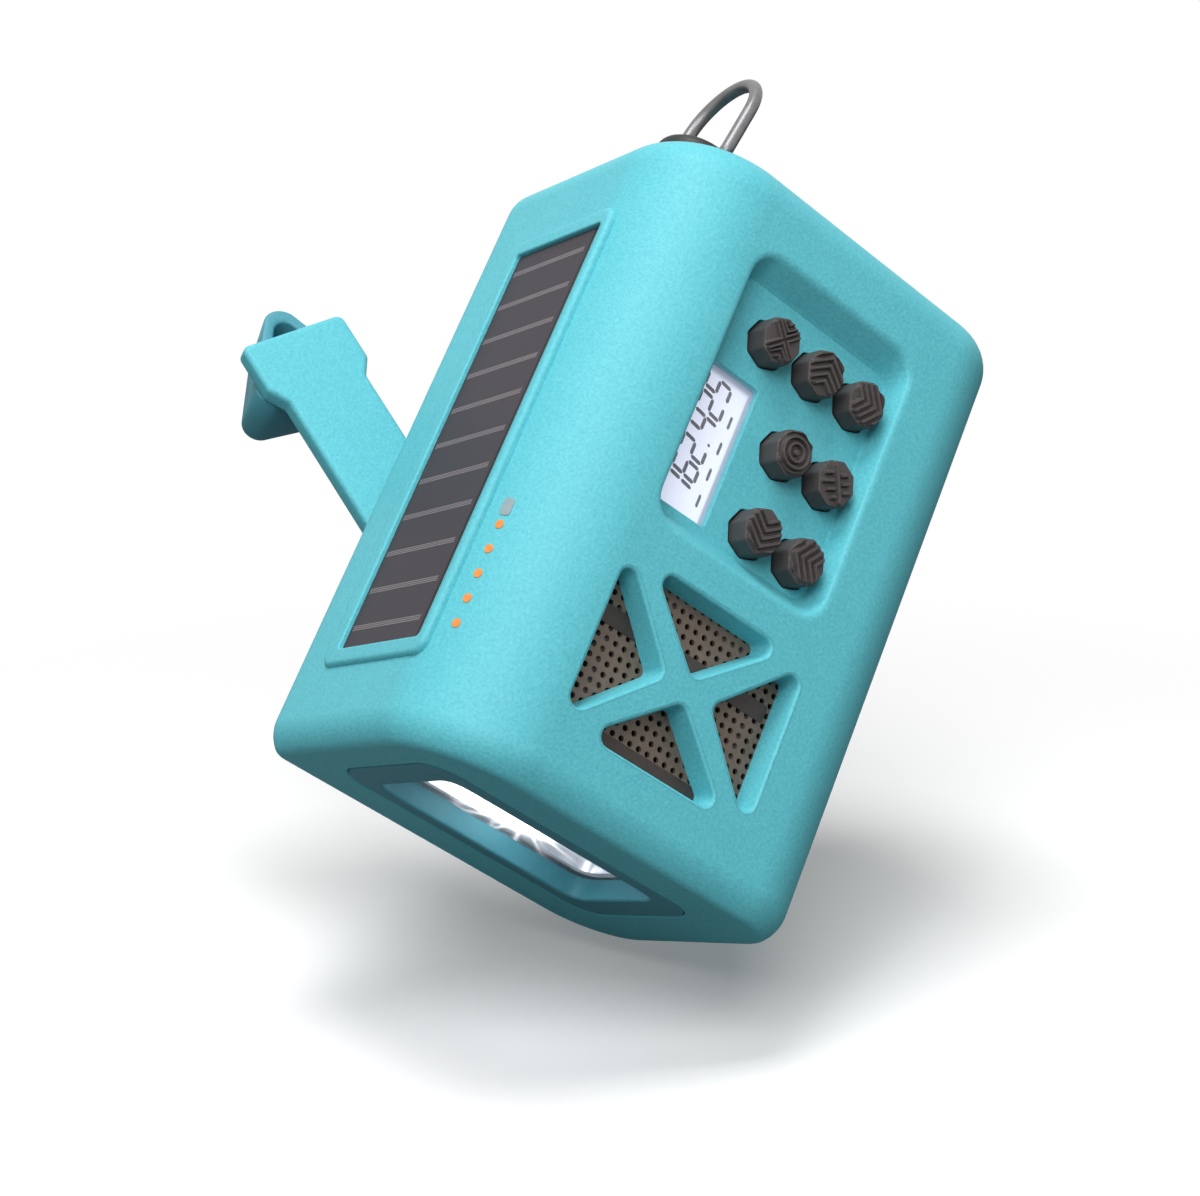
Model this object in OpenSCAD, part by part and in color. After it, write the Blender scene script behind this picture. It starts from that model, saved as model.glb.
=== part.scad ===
// Hand-crank and solar emergency radio with a torch in one end.
// X runs along the body (torch at -X, lanyard ring at +X), -Y is the control side,
// +Y the crank side and +Z the solar side. The origin is on the base, under the middle.

/* [Body] */
// Length of the body along X
body_l = 150; // [145:1:180]
// Depth of the body, controls to crank
body_d = 75.4; // [70:0.2:90]
// Height of the body, base to solar side
body_h = 98.8; // [94:0.2:120]
// Wall thickness of the housing
wall = 2.6; // [2:0.1:3.2]
// Radius of the soft rounding on both ends
end_r = 9; // [6:0.5:12]
// Radius of the long edge between controls and solar side
front_top_r = 23.9; // [18:0.1:26]
// Radius of the long edge between controls and base
front_bottom_r = 16.4; // [12:0.1:20]
// Radius of the long edge between crank side and base
back_bottom_r = 19.8; // [12:0.1:22]
// Radius of the long edge between crank side and solar side
back_top_r = 6; // [4:0.5:8]

/* [Controls] */
// Depth of the control recess
recess_depth = 6; // [4:0.5:7]
// Width across one push button
button_w = 11; // [9:0.5:11]
// How far a button travels
button_travel = 1; // [0.5:0.1:1]
// Running gap round a button
button_gap = 0.3; // [0.2:0.05:0.5]

/* [Speaker] */
// Radius of the loudspeaker basket
speaker_r = 20; // [16:0.5:21]
// Distance from one hole in the perforated metal to the next
mesh_pitch = 2.35; // [2:0.05:4]
// Radius of a hole in the perforated metal
mesh_hole_r = 0.65; // [0.4:0.05:0.8]

/* [Crank] */
// Distance from the fold hinge to the end of the arm
arm_l = 59.2; // [54:0.2:60]
// Width of the crank arm
arm_w = 21.6; // [18:0.2:22]
// Thickness of the crank arm
arm_t = 4.5; // [3.5:0.1:5]
// Direction of the unfolded arm, from +X towards +Z
crank_turn = 49.4; // [30:0.2:60]
// How far the unfolded arm leans away from the crank side
crank_lift = 24; // [15:0.5:30]
// Radius of the triangular grip, centre to corner
knob_r = 15; // [11:0.5:15]

/* [Gears] */
// Teeth on the drive gear
drive_teeth = 30; // [28:2:30]
// Teeth on the small wheel of the idler
idler_small_teeth = 12; // [12:2:14]
// Teeth on the large wheel of the idler
idler_large_teeth = 34; // [28:2:34]
// Teeth on the generator pinion
pinion_teeth = 10; // [10:2:12]

/* [Lanyard ring] */
// Radius of the ring's bend, to the middle of the wire
bail_r = 11.3; // [10.8:0.1:14]
// Straight length of each leg
bail_leg = 12.6; // [8:0.2:18]
// Radius of the ring's wire
bail_wire_r = 1.5; // [1.2:0.1:1.6]
// Angle of the ring below the body's long axis
bail_tilt = 7; // [0:1:60]

/* [Hidden] */
$fn = 48;
hull_fn = 32;               // facets on the children of a hull
run = 0.05;                 // radial running clearance on every shaft and pin
fit = 0.1;                  // clearance round every seated part
gap = 0.3;                  // clearance between parts that pass each other
mid_z = body_h / 2;         // most sizes below count from the middle of the body
front_y = -body_d / 2;
back_y = body_d / 2;
end_x = body_l / 2;
torch_inset = 2;            // the torch end is cut off flat inside its rounding
torch_x = -end_x + torch_inset;
in_x = end_x - wall;        // inside face of the lanyard end

// Control recess, on the control side
recess_x = 23; recess_z = 0;
recess_w = 66.3; recess_h = 46.8; recess_r = 5.5;
recess_run_x = 4.6; recess_run_z = 1.6;      // how far each wall slopes in
recess_ledge = 5; grille_ledge = 6; cover_ledge = 8;     // walls round the openings
floor_y = front_y + recess_depth;
floor_t = 2;
under_floor_y = floor_y + floor_t;
board_y = under_floor_y + 4.1;     // front face of the main board
board_t = 1.6;
lcd_x = 13.35; lcd_z = 14.2; lcd_w = 33.7; lcd_h = 13.4;
lens_rim = 1.7; lens_back_t = 0.8;

// Push buttons: name, x, z
BUTTONS = [["button_power", 40.5, 9.9], ["button_up", 40.5, -3.1], ["button_down", 40.5, -15.6],
           ["button_light", 20.4, -3.1], ["button_alarm", 20.4, -15.6],
           ["button_band", 1.1, -3.1], ["button_menu", 1.1, -15.6]];
button_flange = 0.3; button_flange_t = 1; dome_t = 0.5; dome_r = 2.6;
button_stem_r = 3; button_proud = 0.2;

// Speaker windows: each is a rounded triangle given by its three corners
speaker_x = -38.2; speaker_z = 0;
grille_depth = 6; grille_w = 45; grille_h = 57; grille_t = 0.8; grille_margin = 2.5;
window_side_x = 17; window_side_z = 16.5;     // half-length of each window's long side
window_far_x = 18.6; window_far_z = 24; window_tip_x = 3.6; window_tip_z = 7.4;
window_r = 1.5; window_flare = 1.16;
magnet_r = 12; magnet_t = 7; basket_depth = 11;

// Solar panel, on top
solar_x = -1; solar_w = 100; solar_d = 33.6; solar_t = 1.2;
bezel_w = 108.3; bezel_d = 41.8; bezel_y = 1.1; bezel_proud = 1; bezel_r = 3.5;
seat_depth = 1.2;

// Charge indicators, on the rounding above the controls
pipe_lean = 25.5; pipe_pitch = 5.65; pipe_x = -47.3; pipe_count = 5; pipe_r = 1; pipe_l = 7;
sensor_x = -20.6; sensor_w = 4; sensor_d = 2.6;
pipe_board_w = 34; pipe_board_d = 8; pipe_board_t = 1.2;

// Torch, in the -X end
torch_z = 2.5; torch_w = 41; torch_h = 70; torch_t = 2.6; torch_r = 7;
beam_w = 31; beam_h = 55; beam_r = 4; beam_depth = 5;
lens_t = 1.5; reflector_t = 8; reflector_rim = 2; bowl_r = 14; led_r = 2.6;
torch_board_t = 1.6;

// Rear cover and the crank
cover_x = 0; cover_w = 132; cover_h = 72; cover_r = 8; cover_t = 3; cover_lap = 2.5; ledge_t = 3;
cover_z = mid_z - back_top_r - 0.7 - cover_h / 2; tab_r = 4.2; tab_in = 5; cover_screw_l = 6;
crank_x = -10.6; crank_drop = 11.2; crank_z = cover_z + cover_h / 2 - crank_drop;
hinge_y = back_y + 5.3;
hub_r = 10.8; hub_t = 1.5; shaft_r = 3; boss_r = 5.5; bush_r = 4;
ear_t = 3; ear_r = 3.3; tongue_w = 14; fold_pin_r = 1.5;
head_l = 12.6; head_w = 27.9; head_step = 4.4; head_cut = 1.5;
knob_s = arm_l - 6.5; knob_l = 18.8; knob_wall = 1.8; knob_taper = 0.87; knob_corner = 4.6;
knob_turn = 7; knob_pin_r = 2; pin_head_r = 3.3; knob_hub_r = 4.4; knob_end_t = 2;
stow_x = crank_x - knob_s * cos(crank_turn);
stow_z = crank_z - knob_s * sin(crank_turn);
pocket_r = knob_r + 1.5; pocket_depth = back_y - hinge_y + arm_t / 2 + gap + knob_l + 1; pocket_t = 1.2;

// Gear train behind the cover
gear_back = 13.1; gear_y = back_y - gear_back; gear_w = 3; gear_slop = 0.1;
drive_m = 0.8; idler_m = 0.6; pressure = 28;
plate_t = 1.6; plate_y = gear_y - plate_t - 1;
plate_x = 4; plate_z = crank_z - 5.5; plate_w = 70; plate_h = 30;
idler_x = crank_x + (drive_teeth + idler_small_teeth) * drive_m / 2 + gear_slop;
pinion_x = idler_x + (idler_large_teeth + pinion_teeth) * idler_m / 2 + gear_slop;
idler_pin_r = 1.5; rotor_shaft_r = 1; generator_r = 12; generator_t = 14; generator_wall = 1.2;
rotor_r = 9.5; rotor_t = 10;
post_r = 3; screw_r = 1.3; screw_head_r = 2.4; screw_head_t = 1.5;

// Power
cell_r = 9.2; cell_l = 65; cell_x = 8; cell_y = -1.5; cell_pitch = 19.2; cell_gap = 0.1;
tray_t = 1.4; tray_floor = 1.3; tray_gap = 0.3; tray_bottom = -mid_z + wall + tray_gap;
cell_z = tray_bottom + tray_floor + cell_r;
power_z = cell_z + 12; power_t = 1.6; power_w = 96; power_d = 42;
power_x = in_x - 4.4 - power_w / 2;
usb_pitch = 17; usb_l = 12; usb_wall = 0.5;
USB = [[-0.5, 14, 6.2, 1.9], [0.5, 9.2, 3.4, 0.8]];    // place, width, height, tongue
flap_y = 2.5; flap_z = power_z + 4; flap_w = 38; flap_h = 13; flap_t = 1.7;
flap_depth = 2; flap_gap = 0.3;

// Lanyard ring
bail_y = -11; bail_z = 32.5; bail_x = end_x + 3;
boss_top = 5.6; lug_r = bail_r - bail_wire_r - 0.5; lug_round = 2;
stud_r = 3; nut_r = 5.5; nut_t = 3; pin_in = 4;

// Aerials
ferrite_r = 5; ferrite_l = 60; ferrite_x = 26; ferrite_y = -8; coil_r = 6.2; coil_l = 26;
ferrite_z = mid_z - wall - coil_r;
whip_x = 52; whip_z = cover_z - cover_h / 2 + 6.8; whip_r = 2.5; whip_l = 68;
whip_wall = 0.5; whip_eye_r = 3.3;
whip_y = back_y + gap + whip_r; whip_pin_r = 1.5; whip_tip_cap = 3;
whip_boss_r = 3.5; whip_boss_l = 5;

teal = [0.36, 0.75, 0.80];
dark_teal = [0.25, 0.55, 0.60];
charcoal = [0.20, 0.19, 0.20];
steel = [0.62, 0.63, 0.65];
board_green = [0.10, 0.35, 0.20];

// ---------- shapes used by several parts ----------

// Most parts are placed from the middle of the body
module from_mid() translate([0, 0, mid_z]) children();

// Rounded rectangle about the origin
module rrect(w, h, r) {
    square([w - 2 * r, h], center = true);
    square([w, h - 2 * r], center = true);
    for (sx = [-1, 1], sy = [-1, 1]) translate([sx * (w / 2 - r), sy * (h / 2 - r)]) circle(r);
}

// Slabs with a rounded outline, square to X, Y or Z
module slab_x(x0, x1, y, z, w, h, r)
    translate([x0, y, z]) rotate([90, 0, 90]) linear_extrude(height = x1 - x0) rrect(w, h, r);
module slab_y(y0, y1, x, z, w, h, r)
    translate([x, y1, z]) rotate([90, 0, 0]) linear_extrude(height = y1 - y0) rrect(w, h, r);
module slab_z(z0, z1, x, y, w, h, r)
    translate([x, y, z0]) linear_extrude(height = z1 - z0) rrect(w, h, r);

// Round bars along X and Y
module bar_x(x0, x1, y, z, r)
    translate([x0, y, z]) rotate([0, 90, 0]) cylinder(r = r, h = x1 - x0);
module bar_y(y0, y1, x, z, r)
    translate([x, y0, z]) rotate([-90, 0, 0]) cylinder(r = r, h = y1 - y0);

// The rounded body, shrunk all round by inset
module body_form(inset) {
    corners = [[front_y + front_top_r, mid_z - front_top_r, front_top_r],
               [front_y + front_bottom_r, front_bottom_r - mid_z, front_bottom_r],
               [back_y - back_bottom_r, back_bottom_r - mid_z, back_bottom_r],
               [back_y - back_top_r, mid_z - back_top_r, back_top_r]];
    hull() for (c = corners, sx = [-1, 1]) {
        r = max(c[2] - inset, 1.5);
        e = min(max(end_r - inset, 1.5), r);
        translate([sx * (end_x - inset - e), c[0], c[1]]) rotate([0, 90, 0])
            rotate_extrude($fn = 2 * hull_fn) intersection() {
                translate([r - e, 0]) circle(r = e, $fn = hull_fn);
                translate([0, -e]) square([r, 2 * e]);
            }
    }
}

// Widening hole with a rounded triangular outline; grows by window_flare towards the front
module window(points) {
    cx = (points[0][0] + points[1][0] + points[2][0]) / 3;
    cz = (points[0][1] + points[1][1] + points[2][1]) / 3;
    translate([speaker_x + cx, front_y + grille_depth + gap, speaker_z + cz]) rotate([90, 0, 0])
        linear_extrude(height = grille_depth + 2 * gap, scale = window_flare)
            offset(r = window_r, $fn = hull_fn) offset(delta = -window_r)
                polygon([for (p = points) [p[0] - cx, p[1] - cz]]);
}

// Outline of a toothed wheel with involute flanks and room at the pitch circle
function inv(a) = tan(a) - a * PI / 180;
function flank(r, rb, a0) = a0 - inv(acos(min(1, rb / r))) * 180 / PI;
function polar(r, a) = [r * cos(a), r * sin(a)];
module wheel_outline(teeth, m) {
    rp = teeth * m / 2; rb = rp * cos(pressure);
    root = rp - 1.2 * m; tip = rp + 0.9 * m;
    a0 = 90 / teeth - 0.08 / rp * 180 / PI + inv(pressure) * 180 / PI;
    radii = [root, max(root, rb) + 0.01, rp, (rp + tip) / 2, tip];
    polygon([for (i = [0:teeth - 1]) each concat(
        [for (k = [0:4]) polar(radii[k], i * 360 / teeth - flank(radii[k], rb, a0))],
        [for (k = [4:-1:0]) polar(radii[k], i * 360 / teeth + flank(radii[k], rb, a0))])]);
}
module wheel(teeth, m, y0, w, x, z, turn)
    translate([x, y0 + w, z]) rotate([90, 0, 0]) linear_extrude(height = w) rotate(turn)
        wheel_outline(teeth, m);

// Where the screws sit
function four(x, z, dx, dz) = [for (sx = [-1, 1], sz = [-1, 1]) [x + sx * dx, z + sz * dz]];
COVER_SCREWS = four(cover_x, cover_z, cover_w / 2 - tab_in, cover_h / 2 - tab_in);
BOARD_SCREWS = four(recess_x, recess_z, 31.5, 21);
PLATE_SCREWS = four(plate_x, plate_z, 30, 10.5);

// Frame of the crank arm: x along the arm from the fold hinge, y away from the body
module arm_frame() from_mid() translate([crank_x, hinge_y, crank_z])
    rotate([0, -crank_turn, 0]) rotate([0, 0, crank_lift]) children();

// ---------- housing ----------

module main_shell() color(teal) from_mid() difference() {
    union() {
        difference() { body_form(0); body_form(wall); }
        intersection() {
            body_form(wall / 2);
            union() {
                slab_y(front_y + 1, under_floor_y, recess_x, recess_z,
                       recess_w + recess_ledge, recess_h + recess_ledge, 4);
                slab_y(front_y + 1, front_y + grille_depth, speaker_x, speaker_z,
                       grille_w + grille_ledge, grille_h + grille_ledge - 2, 3);
                slab_x(torch_x, torch_x + wall, 0, 0, body_d, body_h, 1);
                slab_y(back_y - cover_t - ledge_t, back_y - 1, cover_x, cover_z,
                       cover_w + cover_ledge, cover_h + cover_ledge - 2, 6);
            }
        }
        for (p = BOARD_SCREWS) bar_y(under_floor_y - 1, board_y, p[0], p[1], 2.4);
    }
    translate([-body_l, -body_d, -body_h]) cube([body_l + torch_x, 2 * body_d, 2 * body_h]);
    hull() {
        slab_y(floor_y - 0.01, floor_y, recess_x, recess_z,
               recess_w - 2 * recess_run_x, recess_h - 2 * recess_run_z, recess_r - 2, $fn = hull_fn);
        slab_y(front_y - 0.1, front_y, recess_x, recess_z, recess_w, recess_h, recess_r, $fn = hull_fn);
    }
    slab_y(front_y, under_floor_y + 1, lcd_x, lcd_z, lcd_w, lcd_h, 1);
    for (b = BUTTONS) bar_y(front_y, under_floor_y + 1, b[1], b[2], button_w / 2 + button_gap, $fn = 8);
    for (p = BOARD_SCREWS) bar_y(floor_y + 1, board_y + 1, p[0], p[1], 1);
    for (s = [-1, 1]) {
        window([[-window_side_x, s * window_far_z], [window_side_x, s * window_far_z],
                [0, s * window_tip_z]]);
        window([[s * window_far_x, -window_side_z], [s * window_far_x, window_side_z],
                [s * window_tip_x, 0]]);
    }
    slab_z(mid_z - seat_depth, mid_z + 1, solar_x, bezel_y,
           bezel_w + 2 * fit, bezel_d + 2 * fit, bezel_r + fit);
    indicator_places() cylinder(r = pipe_r + run, h = 4 * pipe_l, center = true);
    sensor_place() linear_extrude(height = 4 * pipe_l, center = true)
        rrect(sensor_w + fit, sensor_d + fit, 0.8);
    slab_x(torch_x - 1, torch_x + 2 * wall, 0, torch_z,
           torch_w + 4 * fit, torch_h + 4 * fit, torch_r + 2 * fit);
    translate([cover_x, back_y + 1, cover_z]) rotate([90, 0, 0])
        linear_extrude(height = cover_t + 2 * ledge_t)
        difference() {
            rrect(cover_w - 2 * cover_lap, cover_h - 2 * cover_lap, cover_r - cover_lap);
            for (p = COVER_SCREWS) translate([p[0] - cover_x, p[1] - cover_z]) circle(r = tab_r);
        }
    for (p = COVER_SCREWS) bar_y(0, back_y, p[0], p[1], 1);
    slab_y(back_y - cover_t, back_y + 1, cover_x, cover_z,
           cover_w + 2 * fit, cover_h + 2 * fit, cover_r + fit);
    bar_x(in_x - 1, end_x + 1, bail_y, bail_z, stud_r + run);
    slab_x(end_x - flap_depth, end_x + 1, flap_y, flap_z,
           flap_w + 2 * flap_gap, flap_h + 2 * flap_gap, 0.6);
    for (u = USB)
        slab_x(in_x - 1, end_x, flap_y + u[0] * usb_pitch, power_z + power_t + u[2] / 2,
               u[1] - 1, u[2] - 1, 0.8);
}
module indicator_places() for (i = [0:pipe_count - 1]) pipe_frame(pipe_x + i * pipe_pitch) children();
module sensor_place() pipe_frame(sensor_x) children();

// Frame on the front top rounding: z points straight out of the surface, 0 is flush with it
module pipe_frame(x)
    translate([x, front_y + front_top_r, mid_z - front_top_r]) rotate([pipe_lean, 0, 0])
        translate([0, 0, front_top_r]) children();

module rear_cover() color(teal) from_mid() difference() {
    union() {
        slab_y(back_y - cover_t, back_y, cover_x, cover_z, cover_w, cover_h, cover_r);
        bar_y(back_y - pocket_depth - pocket_t, back_y - 1, stow_x, stow_z, pocket_r + pocket_t);
        bar_y(gear_y + gear_w + 0.4, back_y - 1, crank_x, crank_z, boss_r);
        for (p = PLATE_SCREWS) bar_y(plate_y + plate_t, back_y - 1, p[0], p[1], post_r);
        bar_y(back_y - cover_t - whip_boss_l, back_y - 1, whip_x, whip_z, whip_boss_r);
    }
    bar_y(back_y - pocket_depth, back_y + 1, stow_x, stow_z, pocket_r);
    bar_y(0, back_y + 1, crank_x, crank_z, bush_r);
    for (p = PLATE_SCREWS) bar_y(0, back_y - cover_t, p[0], p[1], screw_r - 0.3);
    for (p = COVER_SCREWS) {
        bar_y(0, back_y + 1, p[0], p[1], screw_r + 0.1);
        bar_y(back_y - screw_head_t, back_y + 1, p[0], p[1], screw_head_r + 0.2);
    }
    bar_y(0, back_y + 1, whip_x, whip_z, whip_pin_r);
}
module cover_screws() color(steel) from_mid() for (p = COVER_SCREWS) {
    bar_y(back_y - screw_head_t, back_y - 0.2, p[0], p[1], screw_head_r);
    bar_y(back_y - cover_t, back_y - screw_head_t, p[0], p[1], screw_r);
    bar_y(back_y - cover_screw_l, back_y - cover_t, p[0], p[1], 1);
}

// ---------- solar side ----------

module solar_bezel() color(teal) from_mid() difference() {
    union() {
        slab_z(mid_z - seat_depth, mid_z + bezel_proud / 2, solar_x, bezel_y,
               bezel_w, bezel_d, bezel_r);
        slab_z(mid_z, mid_z + bezel_proud, solar_x, bezel_y,
               bezel_w - bezel_proud, bezel_d - bezel_proud, bezel_r - bezel_proud / 2);
    }
    slab_z(0, body_h, solar_x, 0, solar_w + 2 * fit, solar_d + 2 * fit, 1);
}
module solar_panel() color([0.16, 0.14, 0.16]) from_mid()
    slab_z(mid_z - seat_depth, mid_z - seat_depth + solar_t, solar_x, 0, solar_w, solar_d, 0.9);

module indicator_pipes() color("orange") from_mid() indicator_places()
    translate([0, 0, 0.15 - pipe_l]) cylinder(r = pipe_r, h = pipe_l);
module sensor_window() color([0.65, 0.75, 0.80]) from_mid() sensor_place()
    translate([0, 0, 0.15 - pipe_l]) linear_extrude(height = pipe_l) rrect(sensor_w, sensor_d, 0.75);
module indicator_board() color(board_green) from_mid()
    pipe_frame((pipe_x + sensor_x) / 2) translate([0, 0, 0.15 - pipe_l - pipe_board_t])
        linear_extrude(height = pipe_board_t) rrect(pipe_board_w, pipe_board_d, 1);

// ---------- control side ----------

module button(x, z) color(charcoal) from_mid() {
    bar_y(front_y - button_proud, under_floor_y + 0.1, x, z, button_w / 2, $fn = 8);
    bar_y(under_floor_y, under_floor_y + button_flange_t, x, z,
          button_w / 2 + button_gap + button_flange, $fn = 8);
    bar_y(under_floor_y + button_flange_t, board_y - dome_t - button_travel - 0.1, x, z, button_stem_r);
}
module dome_switches() color(steel) from_mid()
    for (b = BUTTONS) bar_y(board_y - dome_t, board_y, b[1], b[2], dome_r);
module main_board() color(board_green) from_mid() difference() {
    slab_y(board_y, board_y + board_t, recess_x, recess_z, recess_w + 3, recess_h + 1, 2);
    for (p = BOARD_SCREWS) bar_y(board_y - 1, board_y + 5, p[0], p[1], 1.2);
}
module board_screws() color(steel) from_mid() for (p = BOARD_SCREWS) {
    bar_y(board_y - 3, board_y + board_t, p[0], p[1], 1);
    bar_y(board_y + board_t, board_y + board_t + 1.2, p[0], p[1], 2);
}
module lcd_window() color([0.9, 0.92, 0.98, 0.4]) from_mid() {
    slab_y(floor_y + gap, under_floor_y, lcd_x, lcd_z, lcd_w - 2 * fit, lcd_h - 2 * fit, 1 - fit);
    slab_y(under_floor_y, under_floor_y + lens_back_t, lcd_x, lcd_z,
           lcd_w + 2 * lens_rim, lcd_h + 2 * lens_rim, 1);
}
module lcd_module() color([0.85, 0.87, 0.95]) from_mid()
    slab_y(under_floor_y + lens_back_t, board_y, lcd_x, lcd_z, lcd_w + 3, lcd_h + 3, 1);

// ---------- loudspeaker ----------

module speaker_grille() color([0.36, 0.32, 0.30]) from_mid() {
    y0 = front_y + grille_depth;
    translate([speaker_x, y0 + grille_t, speaker_z]) rotate([90, 0, 0])
        linear_extrude(height = grille_t) difference() {
            rrect(grille_w, grille_h, 2);
            nx = floor((grille_w / 2 - grille_margin) / mesh_pitch);
            nz = floor((grille_h / 2 - grille_margin) / mesh_pitch);
            for (i = [-nx:nx], k = [-nz:nz])
                translate([i * mesh_pitch, k * mesh_pitch]) circle(r = mesh_hole_r, $fn = 16);
        }
}
speaker_y = front_y + grille_depth + grille_t;
module about_speaker() from_mid() translate([speaker_x, speaker_y, speaker_z]) rotate([-90, 0, 0]) children();
module speaker_frame() color([0.25, 0.25, 0.27]) about_speaker() rotate_extrude() polygon([
    [speaker_r - 2.5, 0], [speaker_r + 1, 0], [speaker_r + 1, 1.5], [speaker_r - 1, 1.5],
    [magnet_r - 1, basket_depth], [4, basket_depth], [4, basket_depth - 1.2],
    [magnet_r - 2, basket_depth - 1.2], [speaker_r - 2.5, 1.5]]);
module speaker_cone() color([0.12, 0.12, 0.12]) about_speaker() rotate_extrude() polygon([
    [0, 4], [5, 5.5], [speaker_r - 4.5, 0.8], [speaker_r - 2.5, 0.8], [speaker_r - 2.5, 1.5],
    [speaker_r - 4.2, 1.5], [5.5, 6.3], [5, 6.3], [0, 4.8]]);
module speaker_magnet() color(steel) about_speaker() {
    translate([0, 0, basket_depth]) cylinder(r = magnet_r, h = magnet_t);
    translate([0, 0, basket_depth - 4]) cylinder(r = 3.5, h = 4.5);
}

// ---------- torch ----------

module torch_panel() color(dark_teal) from_mid() difference() {
    union() {
        slab_x(torch_x, torch_x + torch_t, 0, torch_z, torch_w, torch_h, torch_r);
        slab_x(torch_x + 1, torch_x + beam_depth, 0, torch_z, beam_w + 5, beam_h + 5, beam_r + 2);
    }
    slab_x(torch_x - 1, torch_x + beam_depth + 1, 0, torch_z, beam_w, beam_h, beam_r);
}
module torch_lens() color([0.9, 0.95, 1, 0.4]) from_mid()
    slab_x(torch_x + beam_depth, torch_x + beam_depth + lens_t, 0, torch_z,
           beam_w + 4, beam_h + 4, beam_r + 1);
reflector_x = torch_x + beam_depth + lens_t;
led_x = reflector_x + reflector_t;
eye_r = led_r + 0.4;        // the LED's hole in the reflector
module torch_reflector() color([0.88, 0.88, 0.88]) from_mid() difference() {
    slab_x(reflector_x, led_x, 0, torch_z,
           beam_w + 2 * reflector_rim, beam_h + 2 * reflector_rim, beam_r + 1);
    slab_x(reflector_x - 1, reflector_x + 2.5, 0, torch_z, beam_w, beam_h, beam_r);
    translate([led_x, 0, torch_z]) rotate([0, -90, 0]) rotate_extrude() polygon(concat(
        [[0, -1], [eye_r, -1]],
        [for (i = [0:8]) [eye_r + (bowl_r - eye_r) * sqrt(i / 8), i * reflector_t / 8]],
        [[0, reflector_t]]));
}
module torch_led() color([1, 1, 0.9]) from_mid() {
    bar_x(led_x - led_r, led_x, 0, torch_z, led_r);
    translate([led_x - led_r, 0, torch_z]) sphere(led_r);
}
module torch_board() color([0.8, 0.8, 0.8]) from_mid()
    slab_x(led_x, led_x + torch_board_t, 0, torch_z, beam_w + 2, beam_h + 2, 2);

// ---------- power ----------

module battery_cells() color([0.2, 0.4, 0.7]) from_mid()
    for (s = [-0.5, 0.5])
        bar_x(cell_x - cell_l / 2, cell_x + cell_l / 2, cell_y + s * cell_pitch, cell_z, cell_r);
contact_l = 3; contact_r = 3.5;
tray_l = cell_l + 2 * contact_l + 2 * tray_t;
tray_d = 2 * (cell_r + cell_gap) + cell_pitch + 0.4 + 2 * tray_t;
module battery_tray() color([0.15, 0.15, 0.16]) from_mid() translate([cell_x, cell_y, 0]) difference() {
    translate([-tray_l / 2, -tray_d / 2, tray_bottom]) cube([tray_l, tray_d, power_z - tray_bottom]);
    for (s = [-0.5, 0.5])
        bar_x(-cell_l / 2 - contact_l, cell_l / 2 + contact_l, s * cell_pitch, cell_z, cell_r + cell_gap);
    translate([-cell_l / 2 - contact_l, -cell_pitch / 2 - cell_r - 0.02, cell_z])
        cube([cell_l + 2 * contact_l, cell_pitch + 2 * (cell_r + cell_gap), 4 * cell_r]);
}
module battery_contacts() color(steel) from_mid() for (s = [-0.5, 0.5], e = [-1, 1])
    bar_x(cell_x + e * (cell_l + contact_l) / 2 - contact_l / 2,
          cell_x + e * (cell_l + contact_l) / 2 + contact_l / 2,
          cell_y + s * cell_pitch, cell_z, contact_r);
module power_board() color(board_green) from_mid()
    slab_z(power_z, power_z + power_t, power_x, cell_y, power_w, power_d, 1);
module usb_ports() color(steel) from_mid() for (u = USB)
    translate([0, flap_y + u[0] * usb_pitch, power_z + power_t + u[2] / 2]) {
        difference() {
            slab_x(in_x - usb_l, in_x, 0, 0, u[1], u[2], 0.8);
            slab_x(in_x - usb_l + 2, in_x + 1, 0, 0, u[1] - 2 * usb_wall, u[2] - 2 * usb_wall, 0.6);
        }
        translate([in_x - usb_l + 1.5, -u[1] / 2 + 2, -u[3] / 2]) cube([usb_l - 3, u[1] - 4, u[3]]);
    }
module port_cover() color(charcoal) from_mid() {
    x1 = end_x - 0.1; x0 = x1 - flap_t; low = flap_z - flap_h / 2 + flap_t / 2;
    translate([x0, flap_y - flap_w / 2, low]) cube([flap_t, flap_w, flap_h - flap_t / 2]);
    bar_y(flap_y - flap_w / 2, flap_y + flap_w / 2, (x0 + x1) / 2, low, flap_t / 2);
}

// ---------- crank ----------

module crank_hub() color(teal) from_mid() {
    bar_y(plate_y - 2, back_y + gap + 0.5, crank_x, crank_z, shaft_r);
    difference() {
        translate([crank_x, hinge_y, crank_z]) rotate([0, -crank_turn, 0]) {
            translate([0, back_y + gap - hinge_y, 0]) rotate([-90, 0, 0]) cylinder(r = hub_r, h = hub_t);
            for (s = [-1, 1]) translate([0, 0, s * (tongue_w / 2 + 0.2 + ear_t / 2)]) {
                cylinder(r = ear_r, h = ear_t, center = true);
                translate([-ear_r, back_y + gap + hub_t - 0.5 - hinge_y, -ear_t / 2])
                    cube([2 * ear_r, hinge_y - back_y - gap - hub_t + 0.5, ear_t]);
            }
        }
        translate([crank_x, hinge_y, crank_z]) rotate([0, -crank_turn, 0])
            cylinder(r = fold_pin_r, h = 4 * hub_r, center = true);
    }
}
module crank_bush() color("gold") from_mid() difference() {
    bar_y(gear_y + gear_w + 0.4, back_y, crank_x, crank_z, bush_r);
    bar_y(0, back_y + 1, crank_x, crank_z, shaft_r + run);
}
module fold_pin() color(steel) from_mid() translate([crank_x, hinge_y, crank_z]) rotate([0, -crank_turn, 0])
    cylinder(r = fold_pin_r, h = tongue_w + 0.4 + 2 * ear_t, center = true);
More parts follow.
